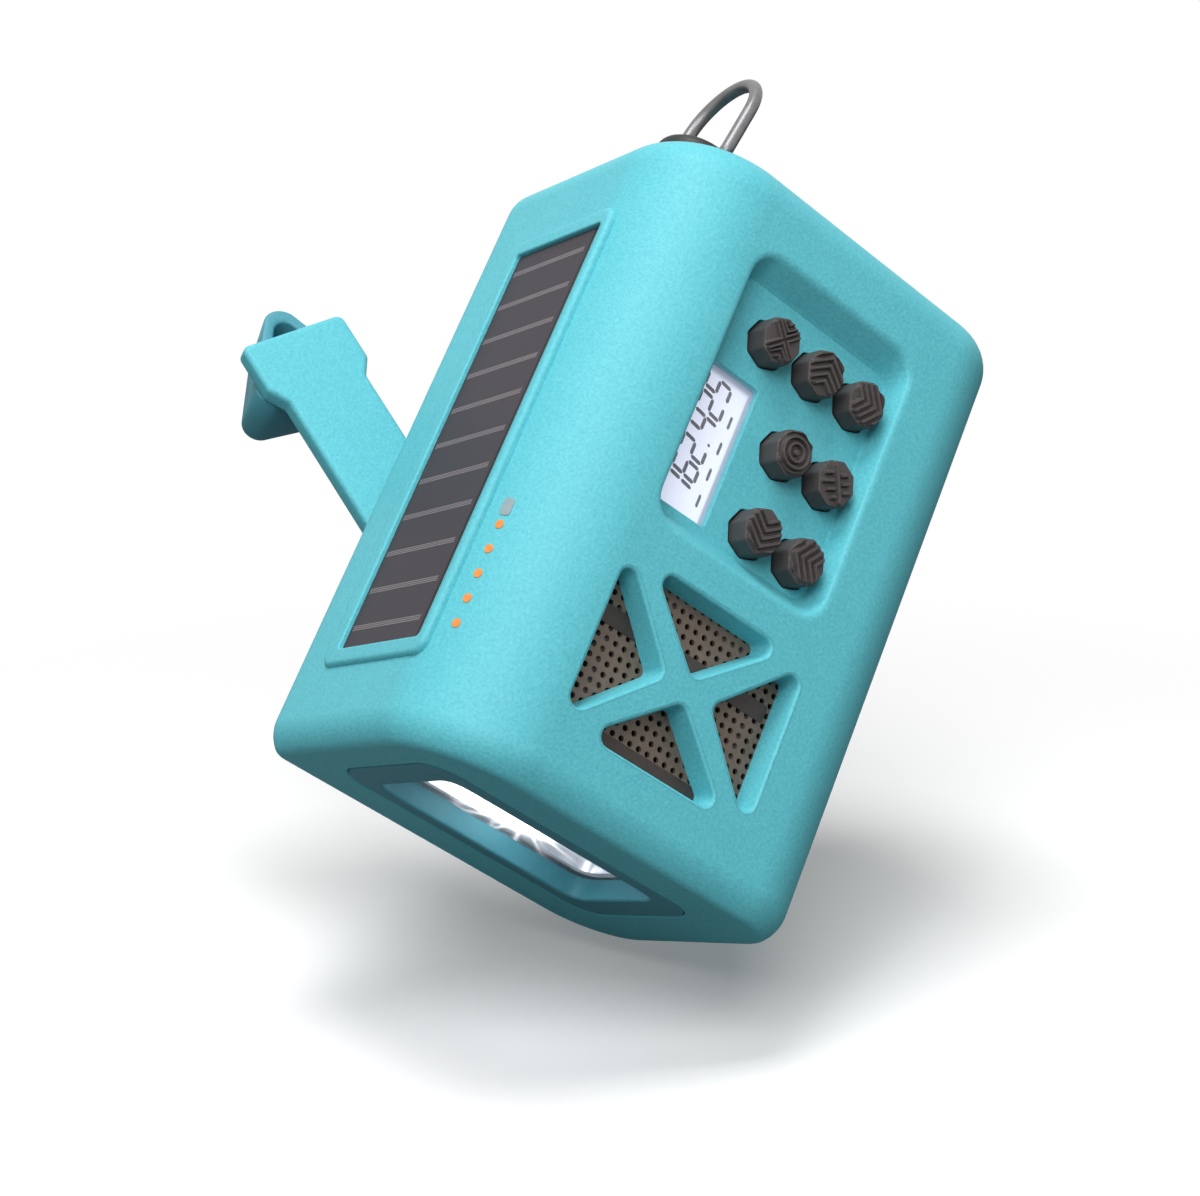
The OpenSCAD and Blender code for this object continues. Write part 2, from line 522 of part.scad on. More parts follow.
module crank_arm() color(teal) arm_frame() difference() {
    union() {
        cylinder(r = ear_r - 0.2, h = tongue_w, center = true);
        translate([0, -arm_t / 2, -tongue_w / 2]) cube([ear_r + 3, arm_t, tongue_w]);
        translate([0, arm_t / 2, 0]) rotate([90, 0, 0]) linear_extrude(height = arm_t) polygon([
            [ear_r + 1.6, -arm_w / 2], [arm_l - head_l - head_step, -arm_w / 2],
            [arm_l - head_l, -head_w / 2],
            [arm_l - head_cut, -head_w / 2], [arm_l, head_cut - head_w / 2],
            [arm_l, head_w / 2 - head_cut], [arm_l - head_cut, head_w / 2],
            [arm_l - head_l, head_w / 2], [arm_l - head_l - head_step, arm_w / 2],
            [ear_r + 1.6, arm_w / 2]]);
    }
    cylinder(r = fold_pin_r + run, h = 2 * tongue_w, center = true);
    translate([knob_s, 0, 0]) rotate([90, 0, 0]) cylinder(r = knob_pin_r, h = 4 * arm_t, center = true);
}
// Rounded triangle, centre to corner reach
module grip_outline(reach, corner) hull() for (a = [0, 120, 240])
    rotate(knob_turn + a) translate([reach - corner, 0]) circle(r = corner, $fn = hull_fn);
module crank_knob() color(teal) arm_frame()
    translate([knob_s, arm_t / 2 + gap, 0]) rotate([-90, 0, 0]) difference() {
        union() {
            difference() {
                linear_extrude(height = knob_l, scale = knob_taper) grip_outline(knob_r, knob_corner);
                translate([0, 0, -0.01]) linear_extrude(height = knob_l - knob_end_t, scale = knob_taper)
                    grip_outline(knob_r - 2 * knob_wall, knob_corner - knob_wall);
            }
            cylinder(r = knob_hub_r, h = knob_l - knob_end_t + 0.5);
        }
        translate([0, 0, -1]) cylinder(r = knob_pin_r + run, h = knob_l + 2);
        translate([0, 0, knob_l - 1.4]) cylinder(r = pin_head_r + gap, h = 2);
    }
module knob_pin() color(steel) arm_frame() translate([knob_s, -arm_t / 2, 0]) rotate([-90, 0, 0]) {
    cylinder(r = knob_pin_r, h = arm_t + gap + knob_l - 1.1);
    translate([0, 0, arm_t + gap + knob_l - 1.1]) cylinder(r = pin_head_r, h = 0.9);
}

// ---------- gear train ----------

module drive_gear() color([0.9, 0.88, 0.8]) from_mid() difference() {
    wheel(drive_teeth, drive_m, gear_y, gear_w, crank_x, crank_z, 0);
    bar_y(0, back_y, crank_x, crank_z, shaft_r);
}
module idler_gear() color([0.9, 0.88, 0.8]) from_mid() difference() {
    union() {
        wheel(idler_small_teeth, drive_m, gear_y, gear_w + 0.5, idler_x, crank_z, 180 / idler_small_teeth);
        wheel(idler_large_teeth, idler_m, gear_y + gear_w + 0.4, 2.4, idler_x, crank_z, 0);
    }
    bar_y(0, back_y, idler_x, crank_z, idler_pin_r + run);
}
module idler_pin() color(steel) from_mid() bar_y(plate_y, back_y - cover_t, idler_x, crank_z, idler_pin_r);
module generator_rotor() color([0.75, 0.75, 0.72]) from_mid() {
    bar_y(plate_y - generator_t - 0.5, gear_y + gear_w + 3.3, pinion_x, crank_z, rotor_shaft_r);
    wheel(pinion_teeth, idler_m, gear_y + gear_w + 0.4, 2.4, pinion_x, crank_z, 180 / pinion_teeth);
    bar_y(plate_y - 2 - rotor_t, plate_y - 2, pinion_x, crank_z, rotor_r);
}
module generator_case() color([0.7, 0.7, 0.73]) from_mid() difference() {
    bar_y(plate_y - generator_t, plate_y, pinion_x, crank_z, generator_r);
    bar_y(plate_y - generator_t + generator_wall, plate_y - generator_wall, pinion_x, crank_z,
          generator_r - generator_wall);
    bar_y(0, back_y, pinion_x, crank_z, rotor_shaft_r + run);
}
module gearbox_plate() color(steel) from_mid() difference() {
    slab_y(plate_y, plate_y + plate_t, plate_x, plate_z, plate_w, plate_h, 3);
    bar_y(0, back_y, crank_x, crank_z, shaft_r + run);
    bar_y(0, back_y, idler_x, crank_z, idler_pin_r);
    bar_y(0, back_y, pinion_x, crank_z, rotor_shaft_r + 0.5);
    for (p = PLATE_SCREWS) bar_y(0, back_y, p[0], p[1], screw_r);
    bar_y(0, back_y, stow_x, stow_z, pocket_r + pocket_t + gap);
}
module gearbox_screws() color(steel) from_mid() for (p = PLATE_SCREWS) {
    bar_y(plate_y - 1.2, plate_y, p[0], p[1], screw_head_r);
    bar_y(plate_y, plate_y + plate_t, p[0], p[1], screw_r);
    bar_y(plate_y + plate_t, plate_y + plate_t + 6, p[0], p[1], screw_r - 0.3);
}

// ---------- lanyard ring ----------

module bail_boss() color([0.08, 0.08, 0.08]) from_mid() difference() {
    union() {
        translate([end_x, bail_y, bail_z]) rotate([0, 90, 0]) rotate_extrude() polygon(concat(
            [[0, 0], [lug_r, 0]],
            [for (a = [0:15:90]) [lug_r + lug_round * (cos(a) - 1), boss_top + lug_round * (sin(a) - 1)]],
            [[0, boss_top]]));
        bar_x(in_x - nut_t, end_x + 0.5, bail_y, bail_z, stud_r);
    }
    for (s = [-1, 1]) translate([bail_x, bail_y + s * (bail_r - pin_in), bail_z])
        rotate([-90 * s, 0, 0]) translate([0, 0, -0.2]) cylinder(r = bail_wire_r + run, h = bail_r);
}
module bail_nut() color(steel) from_mid() difference() {
    bar_x(in_x - nut_t, in_x, bail_y, bail_z, nut_r, $fn = 6);
    bar_x(in_x - 2 * nut_t, in_x + 1, bail_y, bail_z, stud_r);
}
module bail() color([0.5, 0.5, 0.52]) from_mid()
    translate([bail_x, bail_y, bail_z]) rotate([0, bail_tilt, 0]) {
        translate([bail_leg, 0, 0]) rotate([0, 0, -90]) rotate_extrude(angle = 180)
            translate([bail_r, 0]) circle(bail_wire_r);
        for (s = [-1, 1]) {
            bar_x(0, bail_leg, s * bail_r, 0, bail_wire_r);
            translate([0, s * bail_r, 0]) sphere(bail_wire_r);
            translate([0, s * (bail_r - pin_in), 0]) rotate([-90 * s, 0, 0])
                cylinder(r = bail_wire_r, h = pin_in);
        }
    }

// ---------- aerials ----------

module ferrite_rod() color([0.15, 0.15, 0.15]) from_mid()
    bar_x(ferrite_x - ferrite_l / 2, ferrite_x + ferrite_l / 2, ferrite_y, ferrite_z, ferrite_r);
module ferrite_coil() color([0.7, 0.4, 0.2]) from_mid() difference() {
    bar_x(ferrite_x - coil_l / 2, ferrite_x + coil_l / 2, ferrite_y, ferrite_z, coil_r);
    bar_x(ferrite_x - coil_l, ferrite_x + coil_l, ferrite_y, ferrite_z, ferrite_r);
}
module whip_pin() color(steel) from_mid() {
    bar_y(back_y - cover_t - whip_boss_l, whip_y + whip_r + gap, whip_x, whip_z, whip_pin_r);
    bar_y(whip_y + whip_r + gap, whip_y + whip_r + gap + 1, whip_x, whip_z, whip_eye_r);
}
module whip_base() color(steel) from_mid() difference() {
    union() {
        bar_y(whip_y - whip_r, whip_y + whip_r, whip_x, whip_z, whip_eye_r);
        bar_x(whip_x - whip_l, whip_x, whip_y, whip_z, whip_r);
    }
    bar_y(back_y - 1, back_y + 9, whip_x, whip_z, whip_pin_r + run);
    bar_x(whip_x - whip_l - 1, whip_x - whip_eye_r - 1, whip_y, whip_z, whip_r - whip_wall);
}
module whip_middle() color(steel) from_mid() difference() {
    bar_x(whip_x - whip_l, whip_x - whip_eye_r - 2, whip_y, whip_z, whip_r - whip_wall - run);
    bar_x(whip_x - whip_l - 1, whip_x - whip_eye_r - 3, whip_y, whip_z, whip_r - 2 * whip_wall - run);
}
module whip_tip() color(steel) from_mid() {
    bar_x(whip_x - whip_l, whip_x - whip_eye_r - 4, whip_y, whip_z, whip_r - 2 * whip_wall - 2 * run);
    bar_x(whip_x - whip_l - whip_tip_cap, whip_x - whip_l, whip_y, whip_z, whip_r);
}

main_shell();
rear_cover();
cover_screws();
solar_bezel();
solar_panel();
lcd_window();
lcd_module();
for (b = BUTTONS) button(b[1], b[2]);
main_board();
dome_switches();
board_screws();
speaker_grille();
speaker_frame();
speaker_cone();
speaker_magnet();
indicator_pipes();
indicator_board();
sensor_window();
torch_panel();
torch_lens();
torch_reflector();
torch_led();
torch_board();
battery_cells();
battery_tray();
battery_contacts();
power_board();
usb_ports();
port_cover();
crank_hub();
crank_bush();
crank_arm();
fold_pin();
crank_knob();
knob_pin();
drive_gear();
idler_gear();
idler_pin();
generator_rotor();
generator_case();
gearbox_plate();
gearbox_screws();
bail_boss();
bail_nut();
bail();
ferrite_rod();
ferrite_coil();
whip_pin();
whip_base();
whip_middle();
whip_tip();
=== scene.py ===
import math

import bmesh
import bpy
import numpy as np
from mathutils import Matrix, Vector
from mathutils.geometry import tessellate_polygon


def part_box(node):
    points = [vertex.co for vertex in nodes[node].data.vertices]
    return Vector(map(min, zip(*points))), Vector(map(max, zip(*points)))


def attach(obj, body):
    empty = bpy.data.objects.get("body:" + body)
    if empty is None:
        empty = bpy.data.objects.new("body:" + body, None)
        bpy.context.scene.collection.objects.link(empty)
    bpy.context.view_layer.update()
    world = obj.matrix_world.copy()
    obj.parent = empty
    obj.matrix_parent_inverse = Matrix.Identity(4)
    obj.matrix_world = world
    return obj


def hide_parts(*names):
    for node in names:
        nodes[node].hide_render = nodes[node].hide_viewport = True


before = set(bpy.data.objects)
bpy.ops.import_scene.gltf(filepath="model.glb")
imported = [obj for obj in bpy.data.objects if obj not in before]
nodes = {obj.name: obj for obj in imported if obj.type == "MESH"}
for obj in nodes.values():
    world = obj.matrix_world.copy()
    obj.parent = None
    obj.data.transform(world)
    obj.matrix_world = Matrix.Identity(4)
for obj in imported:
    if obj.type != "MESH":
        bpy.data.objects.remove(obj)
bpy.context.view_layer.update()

# ---------------------------------------------------------------------------
# Camera, floor and lamps.
# The radio hangs tilted over a pale floor, torch end down, lit from above by a
# small soft box and from the camera's side by a broad one.
scene = bpy.context.scene
scene.view_settings.view_transform = "Standard"

body_low, body_high = (np.array(corner) * 1000 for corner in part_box("main_shell"))
CENTRE = np.array([0.0, (body_low[1] + body_high[1]) / 2, (body_low[2] + body_high[2]) / 2])
CAMERA_AT = Vector((-0.19744, -0.43421, 0.2923))
CAMERA_RIGHT = Vector((0.36088, -0.55765, -0.74752))
CAMERA_UP = Vector((0.86670, -0.09544, 0.48961))
CAMERA_BACK = CAMERA_RIGHT.cross(CAMERA_UP)

camera = bpy.data.objects.new("camera", bpy.data.cameras.new("camera"))
scene.collection.objects.link(camera)
camera.data.sensor_width = 36
camera.data.lens = 73.138
camera.data.clip_start, camera.data.clip_end = 0.05, 20
camera.matrix_world = Matrix.Translation(CAMERA_AT) @ Matrix(
    (CAMERA_RIGHT, CAMERA_UP, CAMERA_BACK)).transposed().to_4x4()
scene.camera = camera

FLOOR_TILT = math.radians(15)      # how far the camera looks down on the floor
FLOOR_DROP = 0.098                 # from the middle of the body down to the floor
floor_up = CAMERA_UP * math.cos(FLOOR_TILT) + CAMERA_BACK * math.sin(FLOOR_TILT)
floor_depth = floor_up.cross(CAMERA_RIGHT)
middle = Vector(CENTRE / 1000)


class Wire:
    """A value on its way through a material. Arithmetic on it adds Math nodes."""

    def __init__(self, tree, socket):
        self.tree, self.socket = tree, socket

    def node(self, kind, settings=None, inputs=None, out=0):
        """Any other node: its type, its settings, and the values or links of its sockets."""
        made = self.tree.nodes.new(kind)
        for key, value in (settings or {}).items():
            setattr(made, key, value)
        for key, value in (inputs or {}).items():
            if isinstance(value, Wire):
                self.tree.links.new(value.socket, made.inputs[key])
            else:
                made.inputs[key].default_value = value
        return Wire(self.tree, made.outputs[out])

    def math(self, operation, *others):
        """A Math node with this value first."""
        return self.node("ShaderNodeMath", {"operation": operation}, dict(enumerate((self, *others))))

    def __add__(self, other): return self.math("ADD", other)
    def __radd__(self, other): return self.math("ADD", other)
    def __sub__(self, other): return self.math("SUBTRACT", other)
    def __mul__(self, other): return self.math("MULTIPLY", other)
    def __rmul__(self, other): return self.math("MULTIPLY", other)
    def __truediv__(self, other): return self.math("DIVIDE", other)
    def __mod__(self, other): return self.math("FLOORED_MODULO", other)
    def __lt__(self, other): return self.math("LESS_THAN", other)
    def __gt__(self, other): return self.math("GREATER_THAN", other)
    def __abs__(self): return self.math("ABSOLUTE")

    def __rsub__(self, other):
        return self.node("ShaderNodeMath", {"operation": "SUBTRACT"}, {0: other, 1: self})

    def axis(self, name):
        """One coordinate of a position."""
        return self.node("ShaderNodeSeparateXYZ", {}, {0: self}, "XYZ".index(name))

    def noise(self, scale, detail=2.0, rough=0.5):
        """Cloudy values around a half."""
        return self.node("ShaderNodeTexNoise", {}, {
            "Vector": self, "Scale": scale, "Detail": detail, "Roughness": rough})

    def mix(self, first, second):
        """Between two colours, by this value."""
        return self.node("ShaderNodeMix", {"data_type": "RGBA"}, {0: self, 6: first, 7: second}, 2)

    def steps(self, low, high):
        """0 below low, 1 above high, and a soft ramp between."""
        return self.node("ShaderNodeMapRange", {"interpolation_type": "SMOOTHSTEP"}, {
            "Value": self, "From Min": low, "From Max": high, "To Min": 0.0, "To Max": 1.0})


class Finish:
    """A material: one shader with its even values set. Its at is the Object coordinates in metres."""

    def __init__(self, name, even=None):
        self.material = bpy.data.materials.new(name)
        self.material.use_nodes = True
        self.tree = self.material.node_tree
        self.shader = self.tree.nodes["Principled BSDF"]
        for key, value in (even or {}).items():
            self.shader.inputs[key].default_value = value
        start = Wire(self.tree, None)
        self.at = start.node("ShaderNodeTexCoord", out=3)

    def feed(self, socket, wire):
        """Links a value that changes over the surface to one of the shader's sockets."""
        self.tree.links.new(wire.socket, self.shader.inputs[socket])

    def bump(self, height, depth, strength=1.0):
        """Feeds a height, in units of depth metres, to the shader's Normal."""
        self.feed("Normal", height.node("ShaderNodeBump", {}, {
            "Height": height, "Distance": depth, "Strength": strength}))

    def coat(self, *names):
        """Puts this finish on CAD nodes or pieces."""
        for name in names:
            slots = (nodes[name] if isinstance(name, str) else name).data.materials
            slots.clear()
            slots.append(self.material)


def srgb(red, green, blue):
    """A colour given as it looks on screen, 0 to 255, as the shader wants it."""
    levels = np.array([red, green, blue]) / 255
    linear = np.where(levels <= 0.04045, levels / 12.92, ((levels + 0.055) / 1.055) ** 2.4)
    return (*linear.tolist(), 1.0)


FLOOR_HALF = 3.0                   # half the side of the square floor
FLOOR_GLOW = 0.07                  # what the floor adds to itself for the camera, to reach white
FADE_FROM, FADE_TO = 0.17, 0.36    # where the floor turns plain white, from under the body
floor_mid = middle - floor_up * FLOOR_DROP
floor_mesh = bpy.data.meshes.new("floor")
floor_mesh.from_pydata([floor_mid + CAMERA_RIGHT * a * FLOOR_HALF - floor_depth * b * FLOOR_HALF
                        for a, b in ((-1, 1), (1, 1), (1, -1), (-1, -1))], [], [(0, 1, 2, 3)])
floor = bpy.data.objects.new("floor", floor_mesh)
scene.collection.objects.link(floor)
floor_finish = Finish("pale_floor")
WHITE = (1.0, 1.0, 1.0, 1.0)
DIM, PALE = srgb(120, 122, 124), srgb(250, 250, 250)     # the floor to bounced light, to the camera
camera_ray = floor_finish.at.node("ShaderNodeLightPath")
seen = camera_ray.node("ShaderNodeEmission", {}, {"Color": WHITE, "Strength": camera_ray * FLOOR_GLOW})
matt = camera_ray.node("ShaderNodeBsdfDiffuse", {}, {"Color": camera_ray.mix(DIM, PALE)})
both = camera_ray.node("ShaderNodeAddShader", {}, {0: seen, 1: matt})
white = camera_ray.node("ShaderNodeEmission", {}, {"Color": WHITE, "Strength": 1.0})
away = camera_ray.node("ShaderNodeVectorMath", {"operation": "DISTANCE"},
                       {0: floor_finish.at, 1: floor_mid}, 1)
faded = away.steps(FADE_FROM, FADE_TO) * camera_ray
near = faded.node("ShaderNodeMixShader", {}, {0: faded, 1: both, 2: white})
clear = camera_ray.node("ShaderNodeBsdfTransparent")
behind = camera_ray.node("ShaderNodeNewGeometry", out=6)
shown = camera_ray.node("ShaderNodeMixShader", {}, {0: behind * camera_ray, 1: near, 2: clear})
floor_output = floor_finish.tree.nodes["Material Output"]
floor_finish.tree.links.new(shown.socket, floor_output.inputs["Surface"])
floor_finish.tree.nodes.remove(floor_finish.shader)
floor.data.materials.append(floor_finish.material)

world = bpy.data.worlds.new("studio")
scene.world = world
world.use_nodes = True
AMBIENT = 0.26                     # light from the room; the camera and mirrors see plain white
CAMERA_RAY, GLOSSY_RAY, TRANSMISSION_RAY = 0, 3, 6       # outputs of the Light Path node
sky = Wire(world.node_tree, None)
direct, glossy, through = (sky.node("ShaderNodeLightPath", out=output)
                           for output in (CAMERA_RAY, GLOSSY_RAY, TRANSMISSION_RAY))
level = (direct + (glossy + through)).math("MINIMUM", 1.0) * (1 - AMBIENT) + AMBIENT
background = world.node_tree.nodes["Background"]
background.inputs["Color"].default_value = WHITE
world.node_tree.links.new(level.socket, background.inputs["Strength"])


def soft_box(name, direction, distance, size, watts):
    """A square lamp that faces the middle of the radio from a direction."""
    lamp = bpy.data.objects.new(name, bpy.data.lights.new(name, "AREA"))
    scene.collection.objects.link(lamp)
    lamp.data.shape, lamp.data.size, lamp.data.energy = "SQUARE", size, watts
    lamp.location = middle + direction.normalized() * distance
    lamp.rotation_mode = "QUATERNION"
    lamp.rotation_quaternion = direction.to_track_quat("Z", "Y")


soft_box("lamp_top", floor_up + 0.12 * CAMERA_BACK - 0.10 * CAMERA_RIGHT, 0.9, 0.38, 5.3)
soft_box("lamp_front", CAMERA_BACK + 0.55 * CAMERA_UP - 0.05 * CAMERA_RIGHT, 1.3, 0.8, 10.8)


# ---------------------------------------------------------------------------
# Housing shell: one moulding in fine grained teal plastic, with the control
# recess, four speaker windows and the openings for the bezel, cover and torch.
class Skin:
    """A mesh put together from worked-out surfaces, in mm from the middle of the body."""

    def __init__(self):
        self.points, self.faces, self.count = [], [], 0

    def add(self, points, faces):
        """More points, and faces given by the places of their points among them."""
        self.points.append(np.asarray(points, float).reshape(-1, 3))
        self.faces += [tuple(int(i) + self.count for i in face) for face in faces]
        self.count += len(self.points[-1])

    def grid(self, points, keep=None):
        """Quads over rows of points: each point to the next in its row, and the last to the first."""
        rows, columns = points.shape[:2]
        index = np.arange(rows * columns).reshape(rows, columns)
        index = np.concatenate([index, index[:, :1]], 1)
        quads = np.stack([index[:-1, :-1], index[1:, :-1], index[1:, 1:], index[:-1, 1:]], -1)
        if keep is not None:
            quads = quads[keep]
        self.add(points, quads.reshape(-1, 4))

    def fill(self, *loops):
        """Flat face inside the first loop and outside the others."""
        joined = np.concatenate(loops)
        triangles = tessellate_polygon([[Vector(p) for p in loop] for loop in loops])
        self.add(joined, triangles)

    def piece(self, name, body, finish, sharp, replaces=()):
        """One mesh of all the surfaces, merged and facing outwards, with its body and finish."""
        mesh = bpy.data.meshes.new(name)
        mesh.from_pydata((np.concatenate(self.points) + CENTRE) / 1000, [], self.faces)
        work = bmesh.new()
        work.from_mesh(mesh)
        bmesh.ops.remove_doubles(work, verts=work.verts, dist=2e-6)
        bmesh.ops.dissolve_degenerate(work, edges=work.edges, dist=1e-7)
        bmesh.ops.recalc_face_normals(work, faces=work.faces)
        work.to_mesh(mesh)
        work.free()
        mesh.shade_smooth()
        mesh.set_sharp_from_angle(angle=math.radians(sharp))
        made = bpy.data.objects.new(name, mesh)
        scene.collection.objects.link(made)
        finish.coat(made)
        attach(made, body)
        if replaces:
            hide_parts(*replaces)


class Outline:
    """A closed outline with rounded corners, given counter-clockwise.

    An arc's centre is its corner less radius / (1 + cosine of the turn) times the sum of the two
    sides' outward normals. at(o) is the outline moved inwards by o: the same centres, with o taken
    off each radius. A hollow corner has a negative radius.
    """

    def __init__(self, corners, radius, steps=7):
        corners = np.asarray(corners, float)
        along = np.roll(corners, -1, 0) - corners
        along /= np.linalg.norm(along, axis=1)[:, None]
        out = np.stack([along[:, 1], -along[:, 0]], 1)
        before = np.roll(out, 1, 0)
        first = np.arctan2(before[:, 1], before[:, 0])
        turn = np.arctan2(out[:, 1], out[:, 0]) - first
        turn = (turn + math.pi) % (2 * math.pi) - math.pi      # negative at a hollow corner
        signed = np.sign(turn) * radius
        inner = corners - (before + out) * (signed / (1 + (before * out).sum(1)))[:, None]
        angle = first[:, None] + turn[:, None] * np.linspace(0, 1, steps)
        self.radius = np.repeat(signed, steps)[:, None]
        self.centres = np.repeat(inner, steps, 0)
        self.directions = np.stack([np.cos(angle), np.sin(angle)], -1).reshape(-1, 2)

    def at(self, inward):
        """The outline's points, moved inwards."""
        return self.centres + (self.radius - inward) * self.directions


def rectangle(mid_a, mid_b, width, height, radius, steps=7):
    """Outline of a rounded rectangle about a middle."""
    a, b = width / 2, height / 2
    return Outline([(mid_a - a, mid_b - b), (mid_a + a, mid_b - b), (mid_a + a, mid_b + b),
                    (mid_a - a, mid_b + b)], radius, steps)


def rounded(points, radii, steps=6):
    """A line through points, with each inner corner turned into an arc of the given radius.

    The arc's centre lies on the corner's bisector, at radius / sine of half the corner's angle.
    """
    points = [np.array(p, float) for p in points]
    line = [points[0]]
    for before, corner, after, radius in zip(points, points[1:], points[2:], radii):
        to, away = before - corner, after - corner
        to, away = to / np.linalg.norm(to), away / np.linalg.norm(away)
        half = math.acos(np.clip(to @ away, -1, 1)) / 2
        if radius <= 0 or half > math.pi / 2 - 0.01:
            line.append(corner)
            continue
        mid = corner + (to + away) / np.linalg.norm(to + away) * radius / math.sin(half)
        start, end = corner + to * radius / math.tan(half), corner + away * radius / math.tan(half)
        first, last = start - mid, end - mid
        sweep = math.atan2(first[0] * last[1] - first[1] * last[0], first @ last)
        for turn in np.linspace(0, sweep, steps + 1):
            c, s = math.cos(turn), math.sin(turn)
            line.append(mid + np.array([c * first[0] - s * first[1], s * first[0] + c * first[1]]))
    return np.array(line + [points[-1]])


HALF_D, HALF_H = body_high[1] - CENTRE[1], body_high[2] - CENTRE[2]
RING_END, TORCH_END = body_high[0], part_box("torch_panel")[0].x * 1000
END_R = 9.0                        # soft rounding of both ends
ROUND_FROM = 66.0                  # where the roundings begin, from the middle
RADII = {"front_bottom": 16.4, "front_top": 23.9, "back_top": 6.0, "back_bottom": 19.8}


# each makes points from two places on one side of the body and a depth below it
def front(a, b, t): return np.stack([a, -HALF_D + t, b], -1)
def back(a, b, t): return np.stack([a, HALF_D - t, b], -1)
def torch_side(a, b, t): return np.stack([TORCH_END + t, a, b], -1)
def ring_side(a, b, t): return np.stack([RING_END - t, a, b], -1)
def top(a, b, t): return np.stack([a, b, HALF_H - t], -1)


def carry(skin, outline, profile, side, offset=0.0):
    """A profile of (inwards, depth) pairs carried round an outline on one side of the body.

    Row i is the outline moved inwards by the i-th pair's first number, at its second as depth.
    """
    loops = np.stack([outline.at(inward) for inward, depth in profile])
    depth = np.broadcast_to(profile[:, 1:2] + offset, loops.shape[:2])
    skin.grid(side(loops[..., 0], loops[..., 1], depth))


def level_loop(outline, inward, side, depth=0.0):
    """The outline as one loop of points at a depth."""
    loop = outline.at(inward)
    return side(loop[:, 0], loop[:, 1], np.full(len(loop), depth))


FRONT_FLAT, FRONT_HALF = (-32.5, 25.45), 65.5      # the flat of the control side: z, half length
BACK_OPEN, BACK_HALF = (-29.4, 42.8), 66.1         # the opening for the rear cover: z, half length
BEZEL_OPEN = (-53.0, 51.0, -17.4, 19.6)            # the opening for the bezel: x, then y
TOP_FLAT, BASE_FLAT = (-13.2, 31.2), (17.4, -20.8)     # where the top's and the base's flats end in y
BEZEL_TURN = math.degrees(math.acos(-3.6 / 23.9))  # where the front arc meets the bezel's opening


def body_ring(inset):
    """Section of the body, shrunk by inset: four corner arcs joined by flats, as rows of (y, z).

    An arc is its centre plus radius * (cosine, sine) of each angle between its two ends.
    """
    r = {key: max(value - inset, 0.3) for key, value in RADII.items()}
    d, h = HALF_D - inset, HALF_H - inset

    def arc(y, z, radius, first, last, steps=18, extra=()):
        angles = np.radians(np.sort(np.concatenate([np.linspace(first, last, steps), extra])))
        angles = angles if last > first else angles[::-1]
        return np.stack([y + radius * np.cos(angles), z + radius * np.sin(angles)], 1)

    def flat(y, z):
        y, z = np.broadcast_arrays(np.asarray(y, float), np.asarray(z, float))
        return np.stack([y, z], 1)

    return np.concatenate([
        arc(-d + r["front_bottom"], -h + r["front_bottom"], r["front_bottom"], -90, -180),
        flat(-d, FRONT_FLAT),
        arc(-d + r["front_top"], h - r["front_top"], r["front_top"], 180, 90, 24, [BEZEL_TURN]),
        flat([TOP_FLAT[0], BEZEL_OPEN[3], min(TOP_FLAT[1], d - r["back_top"])], h),
        arc(d - r["back_top"], h - r["back_top"], r["back_top"], 90, 0, 12),
        flat(d, np.minimum([BACK_OPEN[1], BACK_OPEN[0]], h - r["back_top"])),
        arc(d - r["back_bottom"], -h + r["back_bottom"], r["back_bottom"], 0, -90, 20),
        flat(BASE_FLAT, -h)])


# The ring end is rounded by a quarter circle of END_R. The torch end is cut flat, CUT short of
# the same rounding's end, and a circle of BLEND_R that touches both joins the two.
CUT, BLEND_R, LIP = 2.0, 3.0, 0.4
deep = END_R - math.sqrt((END_R - BLEND_R) ** 2 - (END_R - CUT - BLEND_R) ** 2)
join = math.asin((END_R - CUT - BLEND_R) / (END_R - BLEND_R))
blend = np.linspace(math.pi / 2, join, 8)
main = np.linspace(join, 0, 10)[1:-1]
ring_arc = np.linspace(0, math.pi / 2, 14)[1:]
stations = np.concatenate([
    [[deep + LIP, TORCH_END]],
    np.stack([deep - BLEND_R * np.cos(blend), TORCH_END + BLEND_R - BLEND_R * np.sin(blend)], 1),
    np.stack([END_R - END_R * np.cos(main), -ROUND_FROM - END_R * np.sin(main)], 1),
    [[0, x] for x in (-BACK_HALF, -FRONT_HALF, BEZEL_OPEN[0], BEZEL_OPEN[1], FRONT_HALF, BACK_HALF)],
    np.stack([END_R - END_R * np.cos(ring_arc), ROUND_FROM + END_R * np.sin(ring_arc)], 1),
    [[END_R + LIP, RING_END]]])
rings = np.stack([np.insert(body_ring(inset), 0, x, axis=1) for inset, x in stations])
closed = np.concatenate([rings, rings[:, :1]], 1)
cell = (closed[:-1, :-1] + closed[1:, :-1] + closed[1:, 1:] + closed[:-1, 1:]) / 4
cell_x, cell_y, cell_z = np.moveaxis(cell, -1, 0)


def between(values, low, high):
    """Where values lie between two limits."""
    return (values > low) & (values < high)


# the faces that the three openings take out of the skin: on the flats, and near the top
ON_SIDE, NEAR_TOP = HALF_D - 0.05, 40
front_hole = (cell_y < -ON_SIDE) & (abs(cell_x) < FRONT_HALF) & between(cell_z, *FRONT_FLAT)
back_hole = (cell_y > ON_SIDE) & (abs(cell_x) < BACK_HALF) & between(cell_z, *BACK_OPEN)
bezel_hole = (cell_z > NEAR_TOP) & between(cell_x, *BEZEL_OPEN[:2]) & between(cell_y, *BEZEL_OPEN[2:])
shell = Skin()
shell.grid(rings, keep=~(front_hole | back_hole | bezel_hole))


